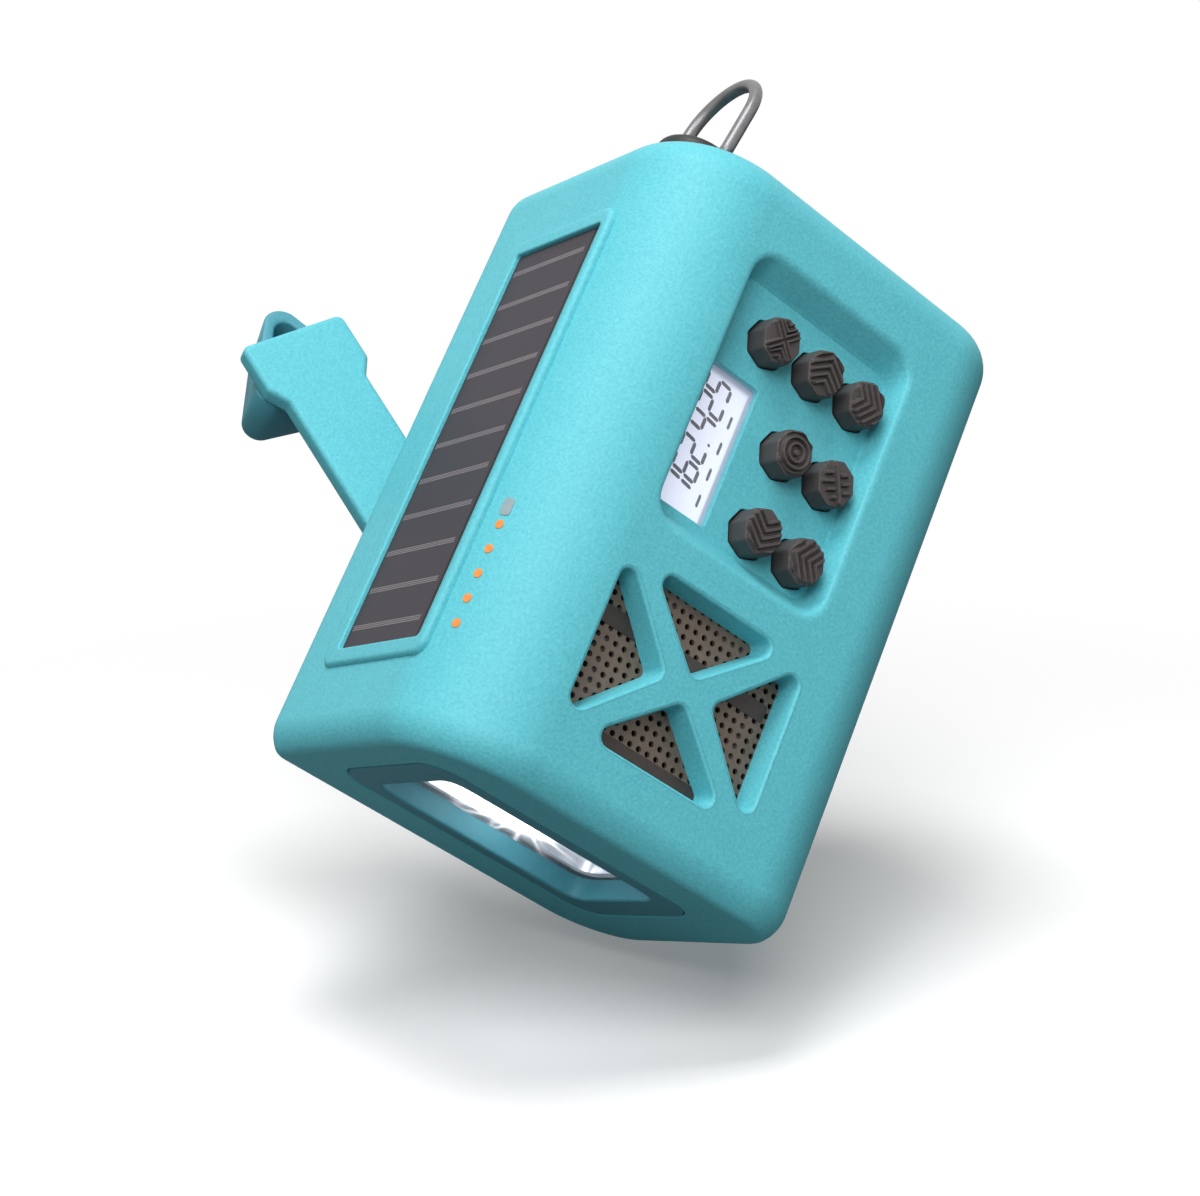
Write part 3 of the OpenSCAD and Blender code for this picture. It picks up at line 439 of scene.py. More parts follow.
def spot(node):
    """Low and high corners of a CAD node, in mm from the middle of the body."""
    low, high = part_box(node)
    return np.array(low) * 1000 - CENTRE, np.array(high) * 1000 - CENTRE


def middle_of(node):
    """The middle of a CAD node's box, in the same mm."""
    low, high = spot(node)
    return (low + high) / 2


# the control recess: a soft rim, and sloping walls down to a level floor
RECESS_DEEP, RECESS_RUN, RECESS_X = 6.0, 4.6, 23.0
HOLD = 0.25                        # how far the floor's own outline shrinks for each mm past the wall
RECESS_RIM, WALL_END = 1.9, 6.0    # the profile starts this far outside the rim and ends inside it
recess = rectangle(RECESS_X, 0.0, 66.3, 46.8, 6.6)
recess_floor = rectangle(RECESS_X, 0.0, 57.1, 43.6, 3.6)
recess_line = rounded([(-RECESS_RIM, 0), (0, 0), (RECESS_RUN, RECESS_DEEP), (WALL_END, RECESS_DEEP)],
                      (2.6, 1.9))


class Slope:
    """Goes from the rim's outline to the floor's over the run of the wall, and then on slowly.

    Its points are rim * (1 - part) + floor * part, where part is how much of the run is done.
    """

    def at(self, inward):
        part = min(max(inward / RECESS_RUN, 0), 1)
        past = max(inward - RECESS_RUN, 0) * HOLD
        return recess.at(min(inward, 0)) * (1 - part) + recess_floor.at(past) * part


carry(shell, Slope(), recess_line, front)

# the loudspeaker's four windows, two above and below the X brace and two beside it
speaker = middle_of("speaker_grille")
WINDOW_DEEP, WINDOW_RIM = 6.0, 1.35
window_line = rounded([(-WINDOW_RIM, 0), (-0.75, 0), (0.05, WINDOW_DEEP)], (0.75,))
windows = []
for s in (-1, 1):
    windows.append([(-17, s * 24), (17, s * 24), (0, s * 7.4)])
    windows.append([(s * 18.6, -16.5), (s * 18.6, 16.5), (s * 3.6, 0)])


def turned(points):
    """The points in counter-clockwise order."""
    (a, b), (c, d) = np.subtract(points[1], points[0]), np.subtract(points[2], points[1])
    return np.array(points if a * d > b * c else points[::-1], float)


windows = [Outline(turned(w) + speaker[[0, 2]], 1.5) for w in windows]
for window in windows:
    carry(shell, window, window_line, front)

edge_x = [-FRONT_HALF, BEZEL_OPEN[0], BEZEL_OPEN[1], FRONT_HALF]
border = np.array([(x, FRONT_FLAT[0]) for x in edge_x] + [(x, FRONT_FLAT[1]) for x in edge_x[::-1]])
shell.fill(front(border[:, 0], border[:, 1], np.zeros(len(border))),
           level_loop(recess, -RECESS_RIM, front),
           *[level_loop(window, -WINDOW_RIM, front) for window in windows])

# the recess floor, with the display opening and a hole for each button
KEYS = ("power", "up", "down", "light", "alarm", "band", "menu")
BUTTON_R, BUTTON_GAP, FLOOR_T, HOLE_RIM = 5.5, 0.3, 2.0, 0.2
hole_line = rounded([(-HOLE_RIM, 0), (0, 0), (0, FLOOR_T)], (0.15,), 3)
lcd = middle_of("lcd_window")
display_hole = rectangle(lcd[0], lcd[2], 33.7, 13.4, 1.0)
corner = np.radians(np.arange(8) * 45)
octagon = np.stack([np.cos(corner), np.sin(corner)], 1)
holes = [display_hole]
for key in KEYS:
    at = middle_of("button_" + key)[[0, 2]]
    holes.append(Outline(octagon * (BUTTON_R + BUTTON_GAP - 0.1) + at, 1.4, 4))
for hole in holes:
    carry(shell, hole, hole_line, front, RECESS_DEEP)
shell.fill(level_loop(Slope(), WALL_END, front, RECESS_DEEP),
           *[level_loop(hole, -HOLE_RIM, front, RECESS_DEEP) for hole in holes])

# the torch end, cut flat, with a close opening for the torch's insert
torch = middle_of("torch_panel")
INSERT_T, INSERT_RIM = 2.6, 0.9
insert_hole = rectangle(torch[1], torch[2], 41.4, 70.4, 7.2)
carry(shell, insert_hole, rounded([(-INSERT_RIM, 0), (0, 0), (0, INSERT_T)], (0.5,), 4), torch_side)
shell.fill(rings[0], level_loop(insert_hole, -INSERT_RIM, torch_side))

# the lanyard end, with a shallow seat and two slots for the sockets' rubber flap
SEAT_RIM, SEAT_IN, SEAT_DEEP = 0.7, 0.6, 2.0
flap = middle_of("port_cover")
flap_seat = rectangle(flap[1], flap[2], 38.6, 13.6, 0.8)
seat_line = rounded([(-SEAT_RIM, 0), (0, 0), (0, SEAT_DEEP), (SEAT_IN, SEAT_DEEP)], (0.35, 0.2), 3)
carry(shell, flap_seat, seat_line, ring_side)
shell.fill(rings[-1], level_loop(flap_seat, -SEAT_RIM, ring_side))
SLOTS = ((-8.5, -19.3, 13.0, 5.2), (8.5, -20.7, 8.2, 2.4))     # y off the flap's, z, width, height
slots = [rectangle(flap[1] + off, z, width, height, 0.8, 4) for off, z, width, height in SLOTS]
for slot in slots:
    carry(shell, slot, rounded([(-HOLE_RIM, 0), (0, 0), (0, 0.7)], (0.1,), 2), ring_side, SEAT_DEEP)
shell.fill(level_loop(flap_seat, SEAT_IN, ring_side, SEAT_DEEP),
           *[level_loop(slot, -HOLE_RIM, ring_side, SEAT_DEEP) for slot in slots])

# the rear opening: its four rounded corners, and the wall down to the ledge
BACK_MID = (BACK_OPEN[0] + BACK_OPEN[1]) / 2
LEDGE_DEEP, LEDGE_IN = 3.0, 2.6
back_outline = rectangle(0, BACK_MID, 2 * BACK_HALF, BACK_OPEN[1] - BACK_OPEN[0], 8.1)
for arc_points in np.split(back_outline.at(0), 4):
    sx, sz = np.sign(arc_points.mean(0) - (0, BACK_MID))
    tip = (sx * BACK_HALF, BACK_OPEN[1] if sz > 0 else BACK_OPEN[0])
    fan = np.concatenate([[tip], arc_points])
    shell.add(back(fan[:, 0], fan[:, 1], np.zeros(len(fan))),
              [(0, i, i + 1) for i in range(1, len(arc_points))])
carry(shell, back_outline, np.array([(0, 0), (0, LEDGE_DEEP), (LEDGE_IN, LEDGE_DEEP)]), back)

teal = Finish("teal_shell", {"Roughness": 0.55, "Specular IOR Level": 0.35})
grain = teal.at.noise(1400, 3, 0.6)
drift = teal.at.noise(60, 2)
fleck = (grain - 0.5) * 1.1 + (drift - 0.5) * 0.2 + 0.5
teal.feed("Base Color", fleck.mix(srgb(74, 171, 186), srgb(110, 208, 218)))
teal.feed("Roughness", drift * 0.1 + 0.5)
teal.bump(grain, 0.00014, 0.7)
shell.piece("housing_shell", "housing", teal, 50, replaces=["main_shell"])


# ---------------------------------------------------------------------------
# Solar side: a teal bezel snapped into the top, the dark solar panel glued in
# it, five orange light dots and a small grey sensor window pressed into the edge.
def plate(skin, outline, side, near, far, edge):
    """A closed plate with an outline and softened edges, from depth near to depth far."""
    hold = 2 * edge
    line = rounded([(hold, near), (0, near), (0, far), (hold, far)], (edge, edge), 3)
    carry(skin, outline, line, side)
    skin.fill(level_loop(outline, hold, side, near))
    skin.fill(level_loop(outline, hold, side, far))


SHARP = math.radians(40)           # an edge that turns more than this is rounded


def soften(name, source, body, finish, width, steps):
    """A copy of a CAD node in its place, with its edges rounded to a width in mm."""
    node = nodes[source]
    mesh = node.data.copy()
    mesh.transform(node.matrix_world)
    work = bmesh.new()
    work.from_mesh(mesh)
    bmesh.ops.remove_doubles(work, verts=work.verts, dist=2e-6)
    bmesh.ops.recalc_face_normals(work, faces=work.faces)
    work.to_mesh(mesh)
    work.free()
    mesh.shade_smooth()
    mesh.set_sharp_from_angle(angle=SHARP)
    made = bpy.data.objects.new(name, mesh)
    scene.collection.objects.link(made)
    edge = made.modifiers.new("edge", "BEVEL")
    edge.width, edge.segments, edge.limit_method = width / 1000, steps, "ANGLE"
    edge.angle_limit, edge.use_clamp_overlap = SHARP, True
    finish.coat(made)
    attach(made, body)
    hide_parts(source)


bezel_low, bezel_high = spot("solar_bezel")
panel_low, panel_high = spot("solar_panel")
bezel_mid, panel_mid = (bezel_low + bezel_high) / 2, (panel_low + panel_high) / 2
bezel_size, panel_size = bezel_high - bezel_low, panel_high - panel_low
BEZEL_UP, SEAT = -1.0, 1.2         # depths of the bezel's raised face and of its seat
UP_OUT, UP_IN, LOW_OUT, LOW_IN = 2.2, -0.8, 0.6, -0.4    # where its rounded sides meet its faces
bezel_out = rectangle(*bezel_mid[:2], *bezel_size[:2], 3.5)
bezel_in = rectangle(*panel_mid[:2], *(panel_size[:2] + 0.2), 1.0)
bezel = Skin()
for outline, high_in, low_in, radii in ((bezel_out, UP_OUT, LOW_OUT, (1.1, 0.2)),
                                        (bezel_in, UP_IN, LOW_IN, (0.5, 0.1))):
    corners = [(high_in, BEZEL_UP), (0, BEZEL_UP), (0, SEAT), (low_in, SEAT)]
    carry(bezel, outline, rounded(corners, radii), top)
bezel.fill(level_loop(bezel_out, UP_OUT, top, BEZEL_UP), level_loop(bezel_in, UP_IN, top, BEZEL_UP))
bezel.fill(level_loop(bezel_out, LOW_OUT, top, SEAT), level_loop(bezel_in, LOW_IN, top, SEAT))
bezel.piece("bezel", "housing", teal, 50, replaces=["solar_bezel"])

solar = Finish("solar_cells", {"Specular IOR Level": 0.12})
GROUP, LINE = 9.0e-3, 0.45e-3      # pitch of the bus bar groups, and of the three bars in a group
BAR_HALF, BAR_FROM, BAR_TO = 0.13e-3, -12.5e-3, 15.8e-3      # half a bar's width, and its ends in y
FINGER, FINGER_PITCH = 0.12e-3, 1.1e-3                       # the fine lines across the bars
GROUPS_FROM, DARKER_FRONT_FROM = 50.5e-3, -14.0e-3                   # the first group, and where the panel turns darker towards its front edge
off_bar = abs((solar.at.axis("X") + GROUPS_FROM) % GROUP - GROUP / 2)
across = solar.at.axis("Y") - CENTRE[1] / 1000
three = (abs(off_bar - LINE) < BAR_HALF).math("MAXIMUM", off_bar < BAR_HALF)
fingers = ((across + 0.1) % FINGER_PITCH) < FINGER
bars = three * (across > BAR_FROM) * (across < BAR_TO)
crystal = solar.at.noise(500, 2)
silicon = (crystal * 0.5 + fingers * 0.5).mix(srgb(58, 55, 60), srgb(74, 70, 76))
with_bars = bars.mix(silicon, srgb(128, 122, 126))
solar.feed("Base Color", (across < DARKER_FRONT_FROM).mix(with_bars, srgb(34, 32, 37)))
solar.feed("Roughness", crystal * 0.1 + 0.42)
panel = Skin()
plate(panel, rectangle(*panel_mid[:2], *panel_size[:2], 0.9), top, 0.0, SEAT, 0.2)
panel.piece("solar_cells_plate", "housing", solar, 40, replaces=["solar_panel"])


def cloudy(name, dark, light, even, scale, rough, bump=0.0):
    """A calm finish: two close colours in a cloud, whose value times rough[1] plus rough[0] is
    the roughness. The same cloud is the bump's height, in units of bump metres."""
    made = Finish(name, even)
    cloud = made.at.noise(scale, 2)
    made.feed("Base Color", cloud.mix(srgb(*dark), srgb(*light)))
    made.feed("Roughness", cloud * rough[1] + rough[0])
    if bump:
        made.bump(cloud, bump, 0.6)
    return made


amber = cloudy("amber_dots", (196, 112, 44), (222, 146, 74), {"Emission Strength": 0.25}, 900,
               (0.25, 0.1))
amber.feed("Emission Color", amber.at.noise(900).mix(srgb(200, 110, 40), srgb(230, 150, 70)))
soften("light_dots", "indicator_pipes", "housing", amber, 0.25, 3)
smoke = cloudy("sensor_glass", (128, 150, 158), (146, 168, 174), {"Coat Weight": 0.5}, 700,
               (0.2, 0.1))
soften("sensor_glass", "sensor_window", "housing", smoke, 0.15, 2)


# ---------------------------------------------------------------------------
# Control field: a clear window over a pale display that shows a frequency, and
# seven dark rubber buttons with raised signs, each free to move in the floor.
glass = Finish("clear_window", {"IOR": 1.49, "Specular IOR Level": 0.5})
film = glass.at.noise(80, 2)
glass.feed("Base Color", film.mix(srgb(236, 240, 250), srgb(250, 252, 255)))
glass.feed("Alpha", film * 0.04 + 0.05)
glass.feed("Roughness", film * 0.05 + 0.04)
LENS_AT, FLOOR_BACK = RECESS_DEEP + 0.3, RECESS_DEEP + FLOOR_T
LENS_FAR = FLOOR_BACK + 0.8
window_skin = Skin()
plate(window_skin, rectangle(lcd[0], lcd[2], 33.5, 13.2, 0.9), front, LENS_AT, FLOOR_BACK, 0.25)
plate(window_skin, rectangle(lcd[0], lcd[2], 37.1, 16.8, 1.0), front, FLOOR_BACK, LENS_FAR, 0.1)
window_skin.piece("display_window", "housing", glass, 40, replaces=["lcd_window"])

MODULE_FAR = spot("lcd_module")[1][1] + HALF_D
module = Skin()
plate(module, rectangle(lcd[0], lcd[2], 36.7, 16.4, 1.0), front, LENS_FAR + 0.05, MODULE_FAR, 0.15)
milk = Finish("display_glow", {"Emission Strength": 0.62})
haze = milk.at.noise(120, 2)
GLOW_W, GLOW_H = 33.6e-3, 13.4e-3  # the lit field; it darkens over the outer tenth
part_z = (milk.at.axis("Z") - (lcd[2] + CENTRE[2]) / 1000) / (GLOW_H / 2)
part_x = (milk.at.axis("X") - lcd[0] / 1000) / (GLOW_W / 2)
rim = abs(part_z).math("MAXIMUM", abs(part_x)).steps(0.90, 1.0)
glow = rim.mix(srgb(228, 232, 250), srgb(150, 160, 182))
milk.feed("Base Color", glow)
milk.feed("Emission Color", glow)
milk.feed("Roughness", haze * 0.1 + 0.4)
module.piece("display", "housing", milk, 40, replaces=["lcd_module"])

# the bars that each digit lights, and each bar's ends: across in widths, up in half heights
SEGMENTS = {"1": "bc", "2": "abged", "4": "fgbc", "5": "afgcd", "6": "afgedc"}
DIGIT_W, DIGIT_H, DIGIT_GAP, STROKE, LEAN = 3.2, 6.6, 1.35, 0.86, 0.16
DIGITS_FROM, DIGITS_AT, DOT_AT, DOT_STEP = -12.6, -2.0, -1.9, 1.6
DASHES_FROM, DASHES_AT, DASH, DASH_PITCH = -12.0, -4.6, 3.4, 6.4
ENDS = {"a": ((0, 2), (1, 2)), "b": ((1, 2), (1, 1)), "c": ((1, 1), (1, 0)), "d": ((0, 0), (1, 0)),
        "e": ((0, 0), (0, 1)), "f": ((0, 1), (0, 2)), "g": ((0, 1), (1, 1))}


def segment(skin, begin, end, width):
    """A six-cornered bar between two points, on the front of the display.

    It comes to a point at each end, its sides begin half its width further in, and every corner
    moves sideways by LEAN times its height.
    """
    begin, end = np.array(begin, float), np.array(end, float)
    along = (end - begin) / np.linalg.norm(end - begin)
    side = np.array([along[1], -along[0]]) * width / 2
    begin, end, tip = begin + along * 0.1, end - along * 0.1, along * width / 2
    line = np.array([begin, begin + tip + side, end - tip + side,
                     end, end - tip - side, begin + tip - side])
    line[:, 0] += (line[:, 1] - lcd[2]) * LEAN
    skin.add(front(line[:, 0], line[:, 1], np.full(6, LENS_FAR + 0.02)), [tuple(range(6))])


digits = Skin()
pen = lcd[0] + DIGITS_FROM
for sign in "162.425":
    if sign == ".":
        segment(digits, (pen - 0.35, lcd[2] + DOT_AT), (pen + 0.75, lcd[2] + DOT_AT), 0.9)
        pen += DOT_STEP
        continue
    for bar in SEGMENTS[sign]:
        (a0, b0), (a1, b1) = ENDS[bar]
        segment(digits, (pen + a0 * DIGIT_W, lcd[2] + DIGITS_AT + b0 * DIGIT_H / 2),
                (pen + a1 * DIGIT_W, lcd[2] + DIGITS_AT + b1 * DIGIT_H / 2), STROKE)
    pen += DIGIT_W + DIGIT_GAP
for dash in range(4):
    begin = lcd[0] + DASHES_FROM + dash * DASH_PITCH
    segment(digits, (begin, lcd[2] + DASHES_AT), (begin + DASH, lcd[2] + DASHES_AT), 0.7)
ink = cloudy("display_ink", (58, 54, 64), (74, 70, 80), {}, 500, (0.4, 0.1))
digits.piece("display_digits", "housing", ink, 40)


def band(value, half, soft=0.22):
    """1 where a value is within half of nought and 0 outside, with a straight flank soft wide."""
    return np.clip((half - abs(value)) / soft + 0.5, 0, 1)


def chevrons(along, beside, slope):
    """Nested V shaped ribs: bands of along + slope * |beside| at even steps."""
    q = along + slope * abs(beside)
    return np.max([band(q - o, 0.50) for o in (5.6, 3.7, 1.8, -0.1, -2.0)], 0)


def relief(key, x, z):
    """Height from 0 to 1 of the sign on a button, over places from its middle in mm.

    power is a saltire of bands of |x| - |z| with more ribs at its sides, light is rings of bands of
    the radius, alarm is a slanted spine with short ribs, and the others are chevrons.
    """
    if key == "power":
        cross = np.max([band(0.70 * abs(x) - 0.71 * abs(z) - o, 0.30) for o in (-0.55, 0.55)], 0)
        return np.maximum(cross, np.max([band(abs(x) - 0.9 * abs(z) - o, 0.34) for o in (2.1, 3.7)], 0))
    if key in ("up", "down", "band"):
        along, beside = {"up": (x, z), "down": (-z, x), "band": (-x, z)}[key]
        return chevrons(along, beside, 0.78)
    if key == "menu":
        return chevrons(z, x, 0.70)
    if key == "light":
        r = np.hypot(x, z)
        return np.max([band(r - 2.0, 0.34), band(r - 3.4, 0.34), band(r - 4.8, 0.34), band(r, 0.7)], 0)
    a, b = 0.86 * x + 0.50 * z, -0.50 * x + 0.86 * z
    ribs = [band(b, 0.42) * band(a, 4.6)]
    ribs += [band(a - o, 0.42) * band(b - 0.9 - h / 2, h / 2)
             for o, h in ((-3.0, 1.5), (-1.2, 2.5), (0.6, 3.2), (2.4, 2.2))]
    ribs += [band(a - o, 0.42) * band(b + 2.0, 1.0) for o in (-2.2, -0.3, 1.6)]
    return np.max(ribs, 0)


def evenly(loop, count):
    """The same closed loop with count points at even distances, read off its running length."""
    shut = np.concatenate([loop, loop[:1]])
    gone = np.concatenate([[0], np.cumsum(np.linalg.norm(np.diff(shut, axis=0), axis=1))])
    at = np.linspace(0, gone[-1], count, endpoint=False)
    return np.stack([np.interp(at, gone, shut[:, k]) for k in (0, 1)], -1)


rubber = Finish("dark_rubber", {"Specular IOR Level": 0.4})
speck = rubber.at.noise(1500, 3)
rubber.feed("Base Color", speck.mix(srgb(60, 55, 55), srgb(82, 76, 75)))
rubber.feed("Roughness", speck * 0.2 + 0.45)
rubber.bump(speck, 0.00006, 0.5)
# A cap's top is its outline shrunk by each share, lower by RELIEF where its sign has no rib. Its
# sides are the outline scaled by (share, depth) pairs: wall, flange under the floor, and stem.
CAP_T, RELIEF, TOP_SHARE = -0.2, 0.95, 0.94
TOP_T = CAP_T + RELIEF
FLANGE_SHARE, FLANGE_FAR, STEM_SHARE = 1.10, FLOOR_BACK + 1, 0.52
STEM_FAR = spot("button_power")[1][1] + HALF_D
cap_line = evenly(Outline(octagon * BUTTON_R, 1.2, 9).at(0) * (1, 0.92), 176)
shares = np.linspace(0, 1, 45)[1:, None]
side_line = rounded([(TOP_SHARE, TOP_T), (0.99, TOP_T + 0.1), (1.0, 1.6), (1.0, FLOOR_BACK),
                     (FLANGE_SHARE, FLOOR_BACK), (FLANGE_SHARE, FLANGE_FAR),
                     (STEM_SHARE, FLANGE_FAR), (STEM_SHARE, STEM_FAR)], (0.02, 0, 0, 0, 0, 0), 3)
for key in KEYS:
    at = middle_of("button_" + key)[[0, 2]]
    x, z = shares * cap_line[:, 0] * TOP_SHARE, shares * cap_line[:, 1] * TOP_SHARE
    depth = CAP_T + RELIEF * (1 - relief(key, x, z) * np.clip((1 - shares) * 16, 0, 1))
    centre_t = CAP_T + RELIEF * (1 - relief(key, np.zeros(1), np.zeros(1))[0])
    skin = Skin()
    skin.grid(front(at[0] + x, at[1] + z, depth))
    fan = front(at[0] + np.append(0, x[0]), at[1] + np.append(0, z[0]),
                np.append(centre_t, depth[0]))
    skin.add(fan, [(0, i + 1, (i + 1) % len(cap_line) + 1) for i in range(len(cap_line))])
    walls = side_line[:, :1, None] * cap_line + at
    wall_depth = np.broadcast_to(side_line[:, 1:2], walls.shape[:2])
    skin.grid(front(walls[..., 0], walls[..., 1], wall_depth))
    skin.fill(front(walls[-1, :, 0], walls[-1, :, 1], np.full(len(cap_line), STEM_FAR)))
    skin.piece("key_" + key, "key_" + key, rubber, 45, replaces=["button_" + key])


# ---------------------------------------------------------------------------
# Loudspeaker: perforated metal with two dark strips behind the windows that are
# painted shade of its ribs' sides, then the steel basket, a paper cone and the ferrite magnet.
mesh_metal = Finish("perforated_metal", {"Metallic": 0.35})
wear = mesh_metal.at.noise(700, 3)
mesh_metal.feed("Base Color", wear.mix(srgb(98, 84, 74), srgb(128, 112, 100)))
mesh_metal.feed("Roughness", wear * 0.2 + 0.35)
mesh_metal.bump(wear, 0.00003, 0.4)
mesh_metal.coat("speaker_grille")
STRIP_L, STRIP_FRONT, STRIP_BACK = 46.0, WINDOW_DEEP - 0.15, WINDOW_DEEP - 0.01
# Two dark plates just behind the windows are painted shade: they stand for the shaded sides of the
# grille's raised ribs.
strips = Skin()
for strip_x, strip_w in ((-16.6, 3.4), (7.0, 4.0)):
    strip = rectangle(speaker[0] + strip_x, speaker[2], strip_w, STRIP_L, 0.8)
    plate(strips, strip, front, STRIP_FRONT, STRIP_BACK, 0.06)
shade_strip_metal = cloudy("painted_shade_metal", (58, 50, 48), (76, 67, 63), {"Metallic": 0.35}, 500,
                    (0.35, 0.15), 0.00003)
strips.piece("painted_shade_strips", "housing", shade_strip_metal, 40)
cloudy("basket_steel", (70, 72, 76), (92, 94, 98), {"Metallic": 0.8}, 250,
       (0.35, 0.15)).coat("speaker_frame")
cloudy("paper_cone", (26, 25, 26), (40, 38, 38), {}, 900, (0.7, 0.2), 0.00008).coat("speaker_cone")
cloudy("magnet_ferrite", (74, 76, 80), (98, 100, 104), {"Metallic": 0.6}, 300,
       (0.4, 0.15)).coat("speaker_magnet")


# ---------------------------------------------------------------------------
# Torch: an insert in a darker teal that is painted shade, clipped into the end, a clear lens
# behind its opening with painted glare, a bowl that glows with painted light, and one LED on its board.
# A darker copy of the shell's teal: painted shade, for the torch insert on the shaded end and for the
# grip.
shaded_teal = Finish("dark_teal", {"Roughness": 0.5, "Specular IOR Level": 0.35})
mottle = shaded_teal.at.noise(1200, 3, 0.6)
shaded_teal.feed("Base Color", mottle.mix(srgb(66, 140, 156), srgb(80, 156, 170)))
shaded_teal.feed("Roughness", mottle * 0.1 + 0.45)
shaded_teal.bump(mottle, 0.00008, 0.5)
# A plate with a collar behind it: rim, opening and collar are three profiles, joined by flat
# rings between their (inwards, depth) ends.
BEAM_DEEP, COLLAR = 5.0, 2.5
RIM_IN, MOUTH, PLATE_BACK, COLLAR_FOOT, COLLAR_EDGE, COLLAR_LIP = 1.2, -1.2, 0.6, -3.0, -2.1, -0.4
insert = rectangle(torch[1], torch[2], 41.0, 70.0, 7.0)
beam = rectangle(torch[1], torch[2], 31.0, 55.0, 4.0)
torch_skin = Skin()
for outline, corners, radii in (
        (insert, [(RIM_IN, 0), (0, 0), (0, INSERT_T), (PLATE_BACK, INSERT_T)], (0.6, 0.2)),
        (beam, [(MOUTH, 0), (0, 0), (0, BEAM_DEEP), (COLLAR_LIP, BEAM_DEEP)], (0.7, 0.1)),
        (beam, [(COLLAR_FOOT, INSERT_T), (-COLLAR, INSERT_T), (-COLLAR, BEAM_DEEP),
                (COLLAR_EDGE, BEAM_DEEP)], (0.1, 0.1))):
    carry(torch_skin, outline, rounded(corners, radii), torch_side)
for outer, outer_in, inner, inner_in, depth in (
        (insert, RIM_IN, beam, MOUTH, 0.0),
        (insert, PLATE_BACK, beam, COLLAR_FOOT, INSERT_T),
        (beam, COLLAR_EDGE, beam, COLLAR_LIP, BEAM_DEEP)):
    torch_skin.fill(level_loop(outer, outer_in, torch_side, depth),
                    level_loop(inner, inner_in, torch_side, depth))
torch_skin.piece("torch_insert", "housing", shaded_teal, 50, replaces=["torch_panel"])

# the lens carries painted glare in its colour, glow and alpha: a core and a halo that fade with
# the distance from its middle in mm, and between them rays where a sine of the angle, taken to a
# high power, peaks
burst = Finish("torch_glow", {"IOR": 1.49, "Emission Strength": 4.0, "Roughness": 0.06})
off_y = burst.at.axis("Y") * 1000 - torch[1] - CENTRE[1]
off_z = burst.at.axis("Z") * 1000 - torch[2] - CENTRE[2]
radius = (off_y * off_y + off_z * off_z).math("SQRT")
turn = off_y.math("ARCTAN2", off_z)
wave = (turn * 7.0 + (turn * 3.0).math("SINE")).math("SINE")
rays = (wave * wave).math("POWER", 6.0)
core = 1.0 - radius.steps(3.0, 13.0)
halo = 1.0 - radius.steps(4.0, 30.0)
glare = (core * 0.85 + rays * halo * 0.30 + halo * 0.08).math("MINIMUM", 1.0)
burst.feed("Base Color", halo.mix(srgb(232, 232, 240), WHITE))
burst.feed("Emission Color", glare.node("ShaderNodeVectorMath", {"operation": "SCALE"}, {
    0: (1.0, 0.97, 1.0), 3: glare}))
burst.feed("Alpha", (glare * 1.6 + 0.12).math("MINIMUM", 1.0))
burst.coat("torch_lens")
# The bowl's glow is painted light, as if the LED lit it; the same cloud varies its real tone and
# roughness.
bowl = Finish("reflector_painted_glow", {"Metallic": 0.9, "Emission Strength": 0.35})
bowl_tone_and_glow = bowl.at.noise(90, 2)
bowl.feed("Base Color", bowl_tone_and_glow.mix(srgb(214, 216, 220), srgb(236, 238, 240)))
bowl.feed("Emission Color", bowl_tone_and_glow.mix(srgb(150, 158, 170), srgb(176, 184, 196)))
bowl.feed("Roughness", bowl_tone_and_glow * 0.1 + 0.16)
bowl.coat("torch_reflector")
lit = Finish("led_light", {"Emission Strength": 4.0})
warm = lit.at.noise(600).mix(srgb(255, 252, 240), WHITE)
lit.feed("Base Color", warm)
lit.feed("Emission Color", warm)
lit.coat("torch_led")


# ---------------------------------------------------------------------------
# Power: two cells in their tray with spring contacts, and the boards, all
# screwed or clipped to the housing. Made by machine, so their edges are crisp.
def board(name, lead):
    """Green lacquer with tracks in a second colour, along the edges of a pattern of cells."""
    made = Finish(name, {"Coat Weight": 0.3})
    from_edge = made.at.node("ShaderNodeTexVoronoi", {"feature": "DISTANCE_TO_EDGE"}, {
        "Vector": made.at, "Scale": 260.0})
    tint = made.at.noise(80, 2)
    lacquer = tint.mix(srgb(20, 84, 48), srgb(28, 104, 60))
    made.feed("Base Color", (from_edge < 0.035).mix(lacquer, srgb(*lead)))
    made.feed("Roughness", tint * 0.2 + 0.3)
    return made


board("green_board", (58, 138, 84)).coat("main_board", "power_board", "indicator_board")
board("white_board", (190, 192, 194)).coat("torch_board")
steel = cloudy("plain_steel", (150, 152, 156), (182, 184, 188), {"Metallic": 0.9}, 400,
               (0.25, 0.15), 0.00002)
steel.coat("dome_switches", "board_screws", "battery_contacts", "usb_ports", "gearbox_plate",
           "idler_pin", "gearbox_screws", "bail_nut", "generator_case", "fold_pin")
cloudy("cell_sleeve", (38, 84, 150), (52, 104, 172), {"Coat Weight": 0.4}, 60,
       (0.3, 0.1)).coat("battery_cells")
cloudy("tray_plastic", (38, 38, 41), (54, 54, 58), {}, 600, (0.5, 0.15), 0.00004).coat("battery_tray")


# ---------------------------------------------------------------------------
# Rear cover in the housing's teal, its four screws, and the black rubber flap
# over the sockets, which bends open along its lower edge.
soften("cover", "rear_cover", "housing", teal, 0.6, 3)
soften("cover_screws_set", "cover_screws", "housing", steel, 0.25, 2)
flap_rubber = cloudy("flap_rubber", (34, 34, 35), (50, 50, 52), {}, 1200, (0.55, 0.2), 0.00005)
soften("flap", "port_cover", "port_flap", flap_rubber, 0.35, 3)


